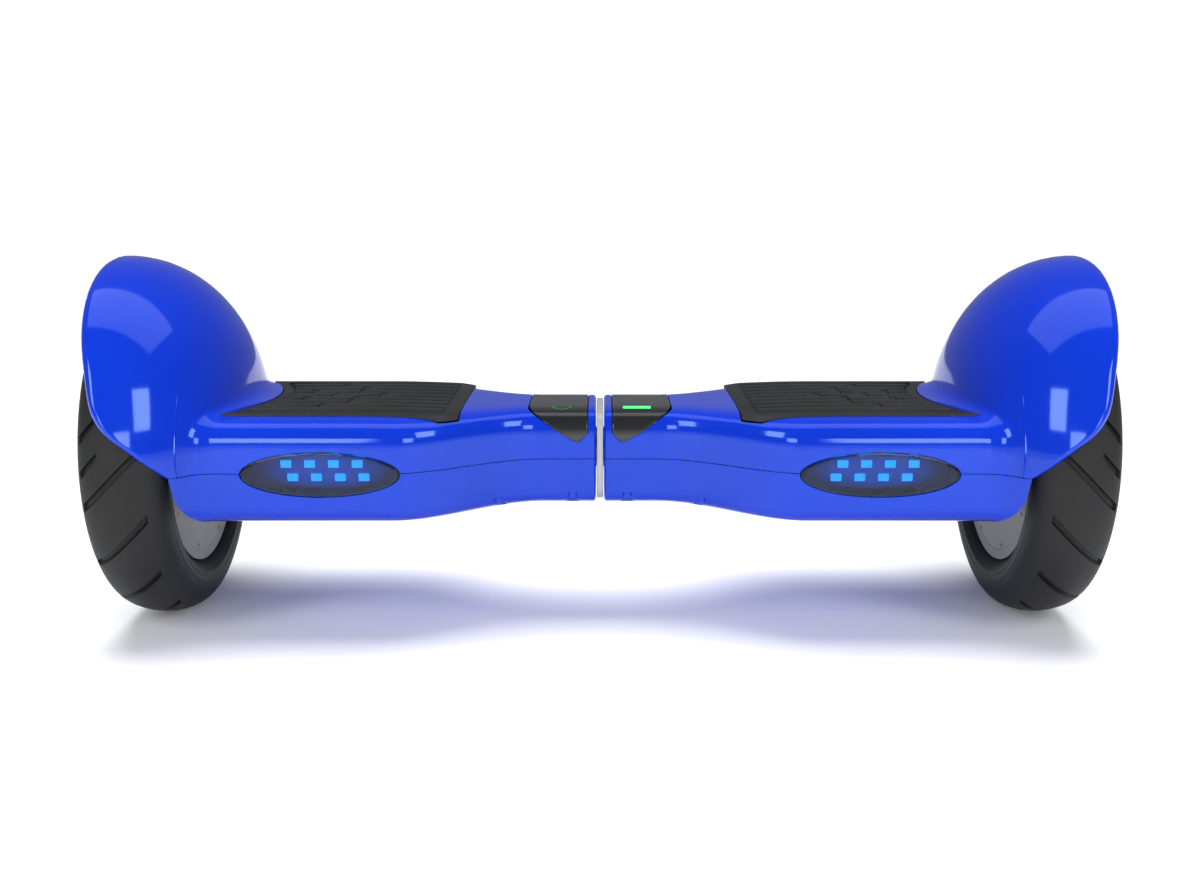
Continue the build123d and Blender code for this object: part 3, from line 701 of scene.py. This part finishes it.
def makeMats(rubber):
    for side, sign in sides.items():
        base = outlinePrism("matBase", matOutline(0.0), matLow.z + mat["bottom"], deckZ, sign)
        bm = bmesh.new()
        bm.from_mesh(base.data)
        for step in range(1, 12):  # short lengths, so that the top can bend
            cut = matLow.x + (matHigh.x - matLow.x) * step / 12
            bmesh.ops.bisect_plane(bm, geom=bm.verts[:] + bm.edges[:] + bm.faces[:],
                                   plane_co=(sign * cut, 0, 0), plane_no=(1, 0, 0))
        for vert in bm.verts:
            if vert.co.z > deckZ - 0.001:
                vert.co.z = matSurface(abs(vert.co.x)) - mat["sink"]
        bm.to_mesh(base.data)
        bm.free()
        roundEdges(base, mat["rounding"])
        applyModifiers(base)
        whole = joinPieces(side + "_ribbed_mat", [base] + ribPieces(sign))
        finishPiece(whole, rubber, side + "_foot_pad", [side + "_foot_mat"])
    print("foot mats made")


# Raised ribs along the mat, broken by staggered notches near the outer end.
def ribPieces(sign):
    half = matHigh.y - mat["border"]
    pitch = 2 * half / mat["ribs"]
    x0 = matLow.x + mat["border"] + 0.003
    pieces = []
    for rib in range(mat["ribs"]):
        y = -half + pitch * (rib + 0.5)
        t = y / matHigh.y
        x1 = matHigh.x - mat["hollow"] * (1 - t * t) - mat["border"]
        breaks = []
        if 1 <= rib <= mat["ribs"] - 2:
            first = mat["break1"] + (mat["stagger"] if rib % 2 else 0.0)
            breaks = [first - 2 * mat["stagger"], first] if 2 < rib < 6 else [first - mat["stagger"]]
        gaps = [x for b in sorted(breaks) for x in (b - mat["notch"] / 2, b + mat["notch"] / 2)]
        ends = [x0] + gaps + [x1]
        for start, end in zip(ends[::2], ends[1::2]):
            pieces.append(meshObject("rib", ribMesh(start, end, y), sign))
    return pieces


# One rib with rounded top edges, bent down to follow the deck.
def ribMesh(start, end, y):
    bm = bmesh.new()
    bmesh.ops.create_cube(bm, size=1.0)
    deep = mat["ribDeep"]
    bmesh.ops.scale(bm, vec=(end - start, mat["ribWidth"], deep + mat["rise"]), verts=bm.verts)
    bmesh.ops.translate(bm, vec=((start + end) / 2, y, deckZ + (mat["rise"] - deep) / 2), verts=bm.verts)
    tops = [e for e in bm.edges if e.verts[0].co.z > deckZ and e.verts[1].co.z > deckZ]
    uprights = [e for e in bm.edges if abs(e.verts[0].co.z - e.verts[1].co.z) > 0.001]
    bmesh.ops.bevel(bm, geom=tops + uprights, offset=mat["ribRounding"], segments=2, profile=0.5,
                    affect="EDGES", material=-1)
    steps = max(2, int((end - start) / mat["bendStep"]))
    for k in range(1, steps):
        bmesh.ops.bisect_plane(bm, geom=bm.verts[:] + bm.edges[:] + bm.faces[:],
                               plane_co=(start + (end - start) * k / steps, 0, 0), plane_no=(1, 0, 0))
    for vert in bm.verts:
        vert.co.z -= deckZ - matSurface(vert.co.x)
    return bm


tyreRadius = tyreHigh.z - axleZ
tyreHalf = tyreHigh.x - wheelX
tyre = dict(pitches=16, groove=0.0034, longWidth=0.0046, shortWidth=0.0040, wall=0.0011, longEnd=-0.68,
            shortEnd=0.45, edge=0.90, sideStart=0.108, ridge=0.0007,
            ridges=((0.0985, 0.0022, 1.0), (0.1045, 0.0016, 0.7)))
tyrePitch = 2 * math.pi * tyreRadius / tyre["pitches"]
# Half section from bead to crown: across, and radius, for a 29 mm half width and 127 mm radius.
tyreSection = [(19.9, 82.6), (19.9, 86.5), (20.6, 89.0), (24.2, 92.0), (27.2, 96.0), (28.7, 101.0),
               (29.0, 106.7), (28.3, 111.8), (26.2, 116.6), (22.6, 120.6), (17.6, 123.6),
               (11.6, 125.6), (5.8, 126.7), (0.0, 127.0)]
tyreInside = [(0.0, 119.5), (10.0, 118.5), (18.0, 114.5), (22.0, 108.0), (22.3, 101.0),
              (19.0, 95.0), (13.0, 91.0), (11.0, 82.6)]


def halfSection(points, steps):
    across = [(k, p[0]) for k, p in enumerate(points)]
    radii = [(k, p[1]) for k, p in enumerate(points)]
    last = len(points) - 1
    return [(curveAt(across, last * k / steps), curveAt(radii, last * k / steps)) for k in range(steps + 1)]


# How far the tread is cut away: across runs from -1, board side, to 1, and turn from 0 to 1 over a pitch.
def grooveDepth(across, turn):
    t = tyre
    around = tyrePitch * (turn - round(turn))
    half = tyrePitch * (abs(turn) - 0.5)

    def window(value, width):
        return 1 - eased((abs(value) - width / 2) / t["wall"])

    def upTo(value, end):
        return 1 - eased((value - end) / 0.05)

    long = window(around, t["longWidth"]) * upTo(across, t["edge"]) * upTo(-across, -t["longEnd"])
    side = abs(across)
    short = window(half, t["shortWidth"]) * upTo(side, t["edge"]) * upTo(-side, -t["shortEnd"])
    return max(long, short) * t["groove"]


def sideRidges(r):
    high = 0
    for middle, half, share in tyre["ridges"]:
        if abs(r - middle) < half:
            high += share * math.cos((r - middle) / half * math.pi / 2)
    return high * tyre["ridge"]


def makeTyres(rubber):
    t = tyre
    outer = halfSection(tyreSection, 52)
    inner = halfSection(tyreInside, 14)
    section = [(-a, r) for a, r in outer] + outer[::-1][1:] + inner[::-1] + [(-a, r) for a, r in inner[1:]]
    section.append(section[0])
    marks = []  # where the rows stand over one pitch: close together at the groove walls
    for centre, width in ((0, t["longWidth"]), (0.5, t["shortWidth"])):
        for step in (-width / 2 - t["wall"], -width / 2 - t["wall"] / 2, -width / 2, 0,
                     width / 2, width / 2 + t["wall"] / 2, width / 2 + t["wall"]):
            marks.append(centre + step / tyrePitch)
    marks += [0.12, 0.19, 0.25, 0.31, 0.38, 0.62, 0.69, 0.75, 0.81, 0.88]
    marks = sorted(m % 1 for m in marks)
    angles = [(p + m) / t["pitches"] for p in range(t["pitches"]) for m in marks]
    angles.append(angles[0] + 1)

    def place(row, column):
        u, r = section[row]
        u = u * mm * tyreHalf / 0.029
        r = r * mm * tyreRadius / 0.127
        outside = row < 2 * len(outer)
        if outside and r > t["sideStart"]:
            cut = grooveDepth(u / tyreHalf * 1.12, angles[column] * t["pitches"])
            lean = min(max((0.127 - r) / 0.014, 0), 1)
            r -= cut * (1 - 0.35 * lean)
            u -= math.copysign(cut * 0.55 * lean, u)
        elif outside:
            u += math.copysign(sideRidges(r), u)
        turn = 2 * math.pi * angles[column] - u / tyreRadius
        return Vector((wheelX + u, -r * math.cos(turn), axleZ + r * math.sin(turn)))

    for side, sign in sides.items():
        bm = placedGrid(len(section) - 1, len(angles) - 1, place, closed=True)
        bmesh.ops.recalc_face_normals(bm, faces=bm.faces)
        piece = meshObject(side + "_treaded_tyre", bm, sign)
        finishPiece(piece, rubber, side + "_wheel", [side + "_tyre"], 40)
    print("tyres made")


# The last four values place the painted glow on the lamp board, an emission standing in for the lights'
# spill.
lamp = dict(ledWidth=0.0074, ledHeight=0.0052, ledDeep=0.0014, ledRounding=0.0005, pitch=0.0165,
            upper=0.0062, lower=-0.0033, shift=-0.0044, face=-0.0885, board=-0.0868, boardWidth=0.102,
            boardHeight=0.023, boardThick=0.0014, paintedGlowShift=-0.002, paintedGlowRise=0.0015, paintedGlowHalf=0.046,
            paintedGlowHigh=0.0145)


def lensPiece(name, sign):
    rows, columns = lens["rows"], lens["columns"]

    def place(row, column):
        turn = 2 * math.pi * column / columns
        share = 1 - row / rows
        x = lens["x"] + lens["halfLength"] * share * math.cos(turn)
        z = lens["z"] + lens["halfHeight"] * share * math.sin(turn)
        return Vector((x, lensFace(x, z) - lens["swell"] * (1 - share ** 2), z))

    bm = placedGrid(rows, columns, place, closed=True)
    faceOut(bm, lambda p: Vector((0, -1, 0)))
    piece = meshObject(name, bm, sign)
    thicken(piece, lens["thick"])
    roundEdges(piece, lens["rounding"], 2, 50)
    applyModifiers(piece)
    return piece


def lightsPiece(name, sign):
    # Two rows of four, the lower one a little nearer the middle of the board.
    bm = bmesh.new()
    for rise, shift in ((lamp["upper"], 0.0), (lamp["lower"], lamp["shift"])):
        for index in range(4):
            x = lens["x"] + shift + (index - 1.5) * lamp["pitch"]
            cube = bmesh.ops.create_cube(bm, size=1.0)
            bmesh.ops.scale(bm, vec=(lamp["ledWidth"], lamp["ledDeep"], lamp["ledHeight"]),
                            verts=cube["verts"])
            bmesh.ops.translate(bm, vec=(x, lamp["face"], lens["z"] + rise), verts=cube["verts"])
    bmesh.ops.bevel(bm, geom=bm.edges[:], offset=lamp["ledRounding"], segments=2, profile=0.5,
                    affect="EDGES", material=-1)
    return meshObject(name, bm, sign)


def boardPiece(name, sign):
    bm = bmesh.new()
    bmesh.ops.create_grid(bm, x_segments=40, y_segments=10, size=0.5)
    bmesh.ops.scale(bm, vec=(lamp["boardWidth"], lamp["boardHeight"], 1), verts=bm.verts)
    bmesh.ops.rotate(bm, cent=(0, 0, 0), matrix=Matrix.Rotation(math.pi / 2, 3, "X"), verts=bm.verts)
    bmesh.ops.translate(bm, vec=(lens["x"], lamp["board"], lens["z"]), verts=bm.verts)
    faceOut(bm, lambda p: Vector((0, -1, 0)))
    piece = meshObject(name, bm, sign)
    thicken(piece, lamp["boardThick"])
    applyModifiers(piece)
    return piece


def makeLenses(glass, board, light):
    for side, sign in sides.items():
        body = side + "_half"
        piece = lensPiece(side + "_lamp_lens", sign)
        finishPiece(piece, glass, body, [side + "_headlight_lens"], 40)
        finishPiece(lightsPiece(side + "_lamp_lights", sign), light, body)
        back = boardPiece(side + "_lamp_board", sign)
        finishPiece(back, board, body, [side + "_headlight_module"])
    print("lamps made")


# Where the casing's front surface lies at a place on the lens.
def lensFace(x, z):
    if z >= partZ:
        share = min((z - partZ) / topRise(x), 1)
        power = casing["topPower"]
        return -deckHalfDepth(x) * (1 - share ** power) ** (1 / power)
    share = min((partZ - z) / bottomDrop(x), 1)
    power = casing["bottomPower"]
    return -footDepth(x) * (1 - share ** power) ** (1 / power)


signs = dict(ringX=0.028, ringY=-0.0290, ringInside=0.0052, ringWide=0.0011, ringLong=1.15,
             barX=0.0270, barY=-0.0300, barLong=0.020, barWide=0.0052, lift=0.00035, thick=0.0008)


def makePanels(gloss, signLight, signDark):
    for side, sign in sides.items():
        piece = meshObject(side + "_sign_panel", panelGrid(0.0, panel["proud"]), sign)
        thicken(piece, panel["thick"])
        roundEdges(piece, panel["rounding"], 2, 50)
        applyModifiers(piece)
        finishPiece(piece, gloss, side + "_half", [side + "_status_panel"], 40)

    def onTop(x, y):
        share = min(abs(y) / deckHalfDepth(x), 1)
        power = casing["topPower"]
        return partZ + topRise(x) * (1 - share ** power) ** (1 / power)

    def ringPlace(row, column):
        turn = 2 * math.pi * column / 64
        grow = signs["ringInside"] + signs["ringWide"] * row / 2
        x = signs["ringX"] + grow * math.cos(turn) * signs["ringLong"]
        y = signs["ringY"] + grow * math.sin(turn)
        return Vector((x, y, onTop(x, y) + signs["lift"]))

    def barPlace(row, column):
        x = signs["barX"] + signs["barLong"] * (column / 12 - 0.5)
        y = signs["barY"] + signs["barWide"] * (row / 3 - 0.5)
        return Vector((x, y, onTop(x, y) + signs["lift"]))

    ring = placedGrid(2, 64, ringPlace, closed=True)
    bar = placedGrid(3, 12, barPlace)
    for bm, side, name, node, material in (
            (ring, "left", "power_sign", "power_indicator", signDark),
            (bar, "right", "charge_sign", "battery_indicator", signLight)):
        faceOut(bm, lambda p: Vector((0, 0, 1)))
        piece = meshObject(name, bm, sides[side])
        thicken(piece, signs["thick"])
        applyModifiers(piece)
        finishPiece(piece, material, side + "_half", [node])
    print("panels made")


# Deep blue gloss whose reflections stay blue.
def paintedCasing():
    material, tree, shader = blankMaterial("glossBlue")
    drift = noiseNode(tree, 7, 2)
    tree.links.new(colourMix(tree, ramp(tree, drift.outputs["Fac"], 0, 1), (0.0008, 0.024, 0.44),
                             (0.0012, 0.030, 0.52)), shader.inputs["Base Color"])
    shader.inputs["Specular IOR Level"].default_value = 0.85
    shader.inputs["Specular Tint"].default_value = (0.30, 0.50, 1.0, 1)
    shader.inputs["Coat Weight"].default_value = 0.12
    shader.inputs["Coat Roughness"].default_value = 0.03
    fine = noiseNode(tree, 900, 2)
    tree.links.new(ramp(tree, fine.outputs["Fac"], 0.07, 0.11), shader.inputs["Roughness"])
    bumpFrom(tree, shader, fine.outputs["Fac"], 0.02, 0.0001)
    return material


def glowing(name, colour, strength, base):
    material, tree, shader = blankMaterial(name)
    shader.inputs["Roughness"].default_value = 0.35
    shader.inputs["Emission Strength"].default_value = strength
    speck = noiseNode(tree, 300, 2)
    share = ramp(tree, speck.outputs["Fac"], 0.0, 0.25)
    tree.links.new(colourMix(tree, share, colour, base), shader.inputs["Emission Color"])
    tree.links.new(colourMix(tree, share, base, colour), shader.inputs["Base Color"])
    return material


# Smoky blue cover: mostly clear, with a dark tint and a soft cyan haze over the lights.
def lensGlass():
    material, tree, shader = blankMaterial("smokedBlueLens")
    haze = noiseNode(tree, 250, 2)
    tree.links.new(ramp(tree, haze.outputs["Fac"], 0.05, 0.09), shader.inputs["Roughness"])
    shader.inputs["Base Color"].default_value = (0.10, 0.22, 0.52, 1)
    shader.inputs["Transmission Weight"].default_value = 1.0
    shader.inputs["IOR"].default_value = 1.25
    shader.inputs["Coat Weight"].default_value = 0.3
    shader.inputs["Coat Roughness"].default_value = 0.04
    return material


# Dark blue board with a painted glow round its middle: emission that stands in for the lights' light
# falling on it.
def lampBoard():
    material, tree, shader = blankMaterial("lampBoard")
    where = tree.nodes.new("ShaderNodeTexCoord")
    split = tree.nodes.new("ShaderNodeSeparateXYZ")
    tree.links.new(where.outputs["Object"], split.inputs["Vector"])

    def squareShare(output, middle, half):
        away = mathNode(tree, "SUBTRACT", mathNode(tree, "ABSOLUTE", output), middle)
        share = mathNode(tree, "DIVIDE", away, half)
        return mathNode(tree, "MULTIPLY", share, share)

    along = squareShare(split.outputs["X"], lens["x"] + lamp["paintedGlowShift"], lamp["paintedGlowHalf"])
    up = squareShare(split.outputs["Z"], lens["z"] + lamp["paintedGlowRise"], lamp["paintedGlowHigh"])
    total = mathNode(tree, "ADD", along, up)
    share = ramp(tree, total, 1.0, 0.0, 0.15, 1.0)
    # Painted glow: the emission is brighter near the lights and stands in for their light on the board,
    # which is no lamp itself.
    tree.links.new(colourMix(tree, share, (0.0, 0.004, 0.02), (0.0, 0.16, 0.62)),
                   shader.inputs["Emission Color"])
    shader.inputs["Emission Strength"].default_value = 1.0
    shader.inputs["Base Color"].default_value = (0.004, 0.012, 0.035, 1)
    fine = noiseNode(tree, 700, 2)
    tree.links.new(ramp(tree, fine.outputs["Fac"], 0.35, 0.45), shader.inputs["Roughness"])
    bumpFrom(tree, shader, fine.outputs["Fac"], 0.2, 0.0002)
    return material


def ribbedRubber(name, shade, roughness):
    return grainyMaterial(name, (shade, shade, shade * 1.02), (shade * 1.5, shade * 1.5, shade * 1.5),
                          roughness, 1400, 0.35, distance=0.0002, specular=0.35)


paint = paintedCasing()
matRubber = ribbedRubber("matRubber", 0.012, 0.50)
tyreRubber = ribbedRubber("tyreRubber", 0.0055, 0.60)
panelGloss = grainyMaterial("panelGloss", (0.0075, 0.0080, 0.0085), (0.0085, 0.0090, 0.0095), 0.22, 350,
                            0.01, coat=0.4)
lensMaterial = lensGlass()
cyanLight = glowing("cyanLight", (0.0, 0.50, 1.0), 3.2, (0.02, 0.62, 1.0))
greenLight = glowing("greenLight", (0.01, 0.9, 0.12), 2.2, (0.1, 0.9, 0.2))
dimGreen = glowing("dimGreen", (0.005, 0.25, 0.06), 0.25, (0.01, 0.10, 0.03))

slotFinishes = {
    "casting": grainyMaterial("castAluminium", (0.24, 0.245, 0.25), (0.31, 0.315, 0.32), 0.5, 700,
                              0.35, 1.0),
    "fastener": grainyMaterial("blackZinc", (0.05, 0.05, 0.055), (0.09, 0.09, 0.095), 0.35, 1200,
                               0.15, 1.0),
    "steel": grainyMaterial("turnedSteel", (0.50, 0.50, 0.52), (0.62, 0.62, 0.64), 0.26, 900, 0.12, 1.0,
                            stretch=(12, 1, 1)),
    "lamination": grainyMaterial("laminatedIron", (0.20, 0.20, 0.22), (0.28, 0.28, 0.30), 0.42, 60,
                                 0.30, 1.0, stretch=(60, 1, 1)),
    "copper": grainyMaterial("enamelledCopper", (0.50, 0.17, 0.06), (0.60, 0.24, 0.09), 0.30, 1500,
                             0.30, 1.0, stretch=(1, 1, 6)),
    "circuit": grainyMaterial("circuitGreen", (0.008, 0.07, 0.03), (0.012, 0.11, 0.05), 0.35, 500, 0.20),
    "lamp_board": lampBoard(),
    "cable": grainyMaterial("cableSleeve", (0.015, 0.015, 0.016), (0.03, 0.03, 0.032), 0.45, 1000, 0.25),
    "rim": grainyMaterial("greyCastRim", (0.12, 0.122, 0.125), (0.16, 0.163, 0.167), 0.48, 800, 0.30, 0.35),
    "magnet": grainyMaterial("nickelMagnet", (0.45, 0.45, 0.44), (0.56, 0.56, 0.54), 0.28, 800, 0.10, 1.0),
    "valve_rubber": ribbedRubber("valveRubber", 0.016, 0.5),
    "hub_plastic": grainyMaterial("hubPlastic", (0.03, 0.03, 0.032), (0.045, 0.045, 0.047), 0.38, 900,
                                  0.15),
    "washer": grainyMaterial("paleWasher", (0.36, 0.37, 0.38), (0.44, 0.45, 0.46), 0.40, 800, 0.10, 0.2),
    "bush": grainyMaterial("bronzeBush", (0.45, 0.28, 0.12), (0.54, 0.36, 0.17), 0.35, 900, 0.15, 1.0),
    "battery_wrap": grainyMaterial("shrinkSleeve", (0.02, 0.08, 0.32), (0.03, 0.12, 0.42), 0.22, 120, 0.35,
                                   stretch=(3, 1, 1)),
    "socket_metal": grainyMaterial("platedSocket", (0.50, 0.51, 0.52), (0.60, 0.61, 0.62), 0.24, 900,
                                   0.10, 1.0),
    "cap_rubber": ribbedRubber("capRubber", 0.014, 0.55),
    "button": grainyMaterial("buttonPlastic", (0.02, 0.02, 0.022), (0.03, 0.03, 0.032), 0.3, 900, 0.12),
    "shell": paint, "tyre": tyreRubber, "mat_rubber": matRubber, "lens": lensMaterial, "panel": panelGloss,
    "green_light": greenLight,
}


# Gives each kept CAD node the finish of its slot.
def finishCadNodes():
    wanted = {row["node"]: row["material_slot"] for row in frame["record"]["subparts"]}
    for name, piece in nodes.items():
        material = slotFinishes.get(wanted.get(name))
        if material is None:
            print("no finish for", name, wanted.get(name))
            continue
        if not piece.material_slots:
            piece.data.materials.append(material)
        for slot in piece.material_slots:
            slot.material = material
    print("finishes set")


makeShells(paint)
makeSeal(slotFinishes["washer"])
makeMats(matRubber)
makeTyres(tyreRubber)
makeLenses(lensMaterial, slotFinishes["lamp_board"], cyanLight)
makePanels(panelGloss, greenLight, dimGreen)
finishCadNodes()


stage = dict(lens=39.27, place=(0, -0.97815, 0.3189), tilt=79.027, worldColour=(0.86, 0.90, 1.0, 1),
             worldPower=0.24, skyPower=2.9, skySpread=48, skyWay=(0, 0.26, 1.0), floorLift=0.05)
# Soft boxes: where each stands, where it looks, its width and height, and its power.
softBoxes = {
    "overhead": ((0, 0.12, 1.9), (0, -0.02, 0.0), 2.3, 1.0, 9),
    "leftBox": ((-0.95, -1.0, 0.85), (-0.30, 0, 0.15), 0.45, 0.70, 7),
    "rightBox": ((0.95, -1.0, 0.85), (0.30, 0, 0.15), 0.45, 0.70, 7),
    "frontLeftBox": ((-0.62, -1.5, 0.42), (-0.15, 0, 0.12), 0.42, 0.34, 3),
    "frontRightBox": ((0.62, -1.5, 0.42), (0.15, 0, 0.12), 0.42, 0.34, 3),
}


def paleMaterial(name, glow, scale):
    material, tree, shader = blankMaterial(name)
    shader.inputs["Emission Color"].default_value = (1, 1, 1, 1)
    shader.inputs["Emission Strength"].default_value = glow
    soft = noiseNode(tree, scale, 2)
    tree.links.new(colourMix(tree, ramp(tree, soft.outputs["Fac"], 0, 1), (0.93, 0.93, 0.94),
                             (0.95, 0.95, 0.96)), shader.inputs["Base Color"])
    return material, shader


def makeFloor():
    bm = bmesh.new()
    bmesh.ops.create_grid(bm, x_segments=24, y_segments=24, size=10.0)
    floor = meshObject("floor", bm)
    material, shader = paleMaterial("paleFloor", stage["floorLift"], 1.5)
    shader.inputs["Roughness"].default_value = 0.85
    shader.inputs["Specular IOR Level"].default_value = 0.1
    floor.data.materials.append(material)


# A pale lit wall all round, far from the board.
def makeBackdrop():
    bm = bmesh.new()
    bmesh.ops.create_cone(bm, cap_ends=False, segments=64, radius1=9.0, radius2=9.0, depth=9.0,
                          matrix=Matrix.Translation((0, 0, 4.4)))
    faceOut(bm, lambda p: Vector((-p.x, -p.y, 0)))
    wall = meshObject("backdrop", bm)
    wall.data.materials.append(paleMaterial("paleBackdrop", 1.0, 0.5)[0])
    wall.visible_glossy = False
    wall.visible_diffuse = False
    wall.visible_shadow = False


# Wide even light from above that lights the floor and casts the soft shadow.
def makeSky():
    data = bpy.data.lights.new("sky", "SUN")
    data.energy = stage["skyPower"]
    data.angle = math.radians(stage["skySpread"])
    light = bpy.data.objects.new("sky", data)
    light.rotation_euler = Vector(stage["skyWay"]).to_track_quat("Z", "Y").to_euler()
    light.visible_glossy = False
    bpy.context.scene.collection.objects.link(light)


def makeSoftBox(name, place, target, width, height, power):
    data = bpy.data.lights.new(name, "AREA")
    data.shape = "RECTANGLE"
    data.size = width
    data.size_y = height
    data.energy = power
    light = bpy.data.objects.new(name, data)
    light.location = place
    way = Vector(target) - Vector(place)
    light.rotation_euler = way.to_track_quat("-Z", "Y").to_euler()
    bpy.context.scene.collection.objects.link(light)


def makeWorld():
    world = bpy.data.worlds.new("studio")
    bpy.context.scene.world = world
    world.use_nodes = True
    back = world.node_tree.nodes["Background"]
    back.inputs["Color"].default_value = stage["worldColour"]
    back.inputs["Strength"].default_value = stage["worldPower"]
    bpy.context.scene.view_settings.view_transform = "Standard"


def makeCamera():
    data = bpy.data.cameras.new("camera")
    data.lens = stage["lens"]
    data.sensor_width = 36
    camera = bpy.data.objects.new("camera", data)
    camera.location = stage["place"]
    camera.rotation_euler = (math.radians(stage["tilt"]), 0, 0)
    bpy.context.scene.collection.objects.link(camera)
    bpy.context.scene.camera = camera


makeFloor()
makeBackdrop()
makeSky()
for name, values in softBoxes.items():
    makeSoftBox(name, *values)
makeWorld()
makeCamera()
print("stage set")
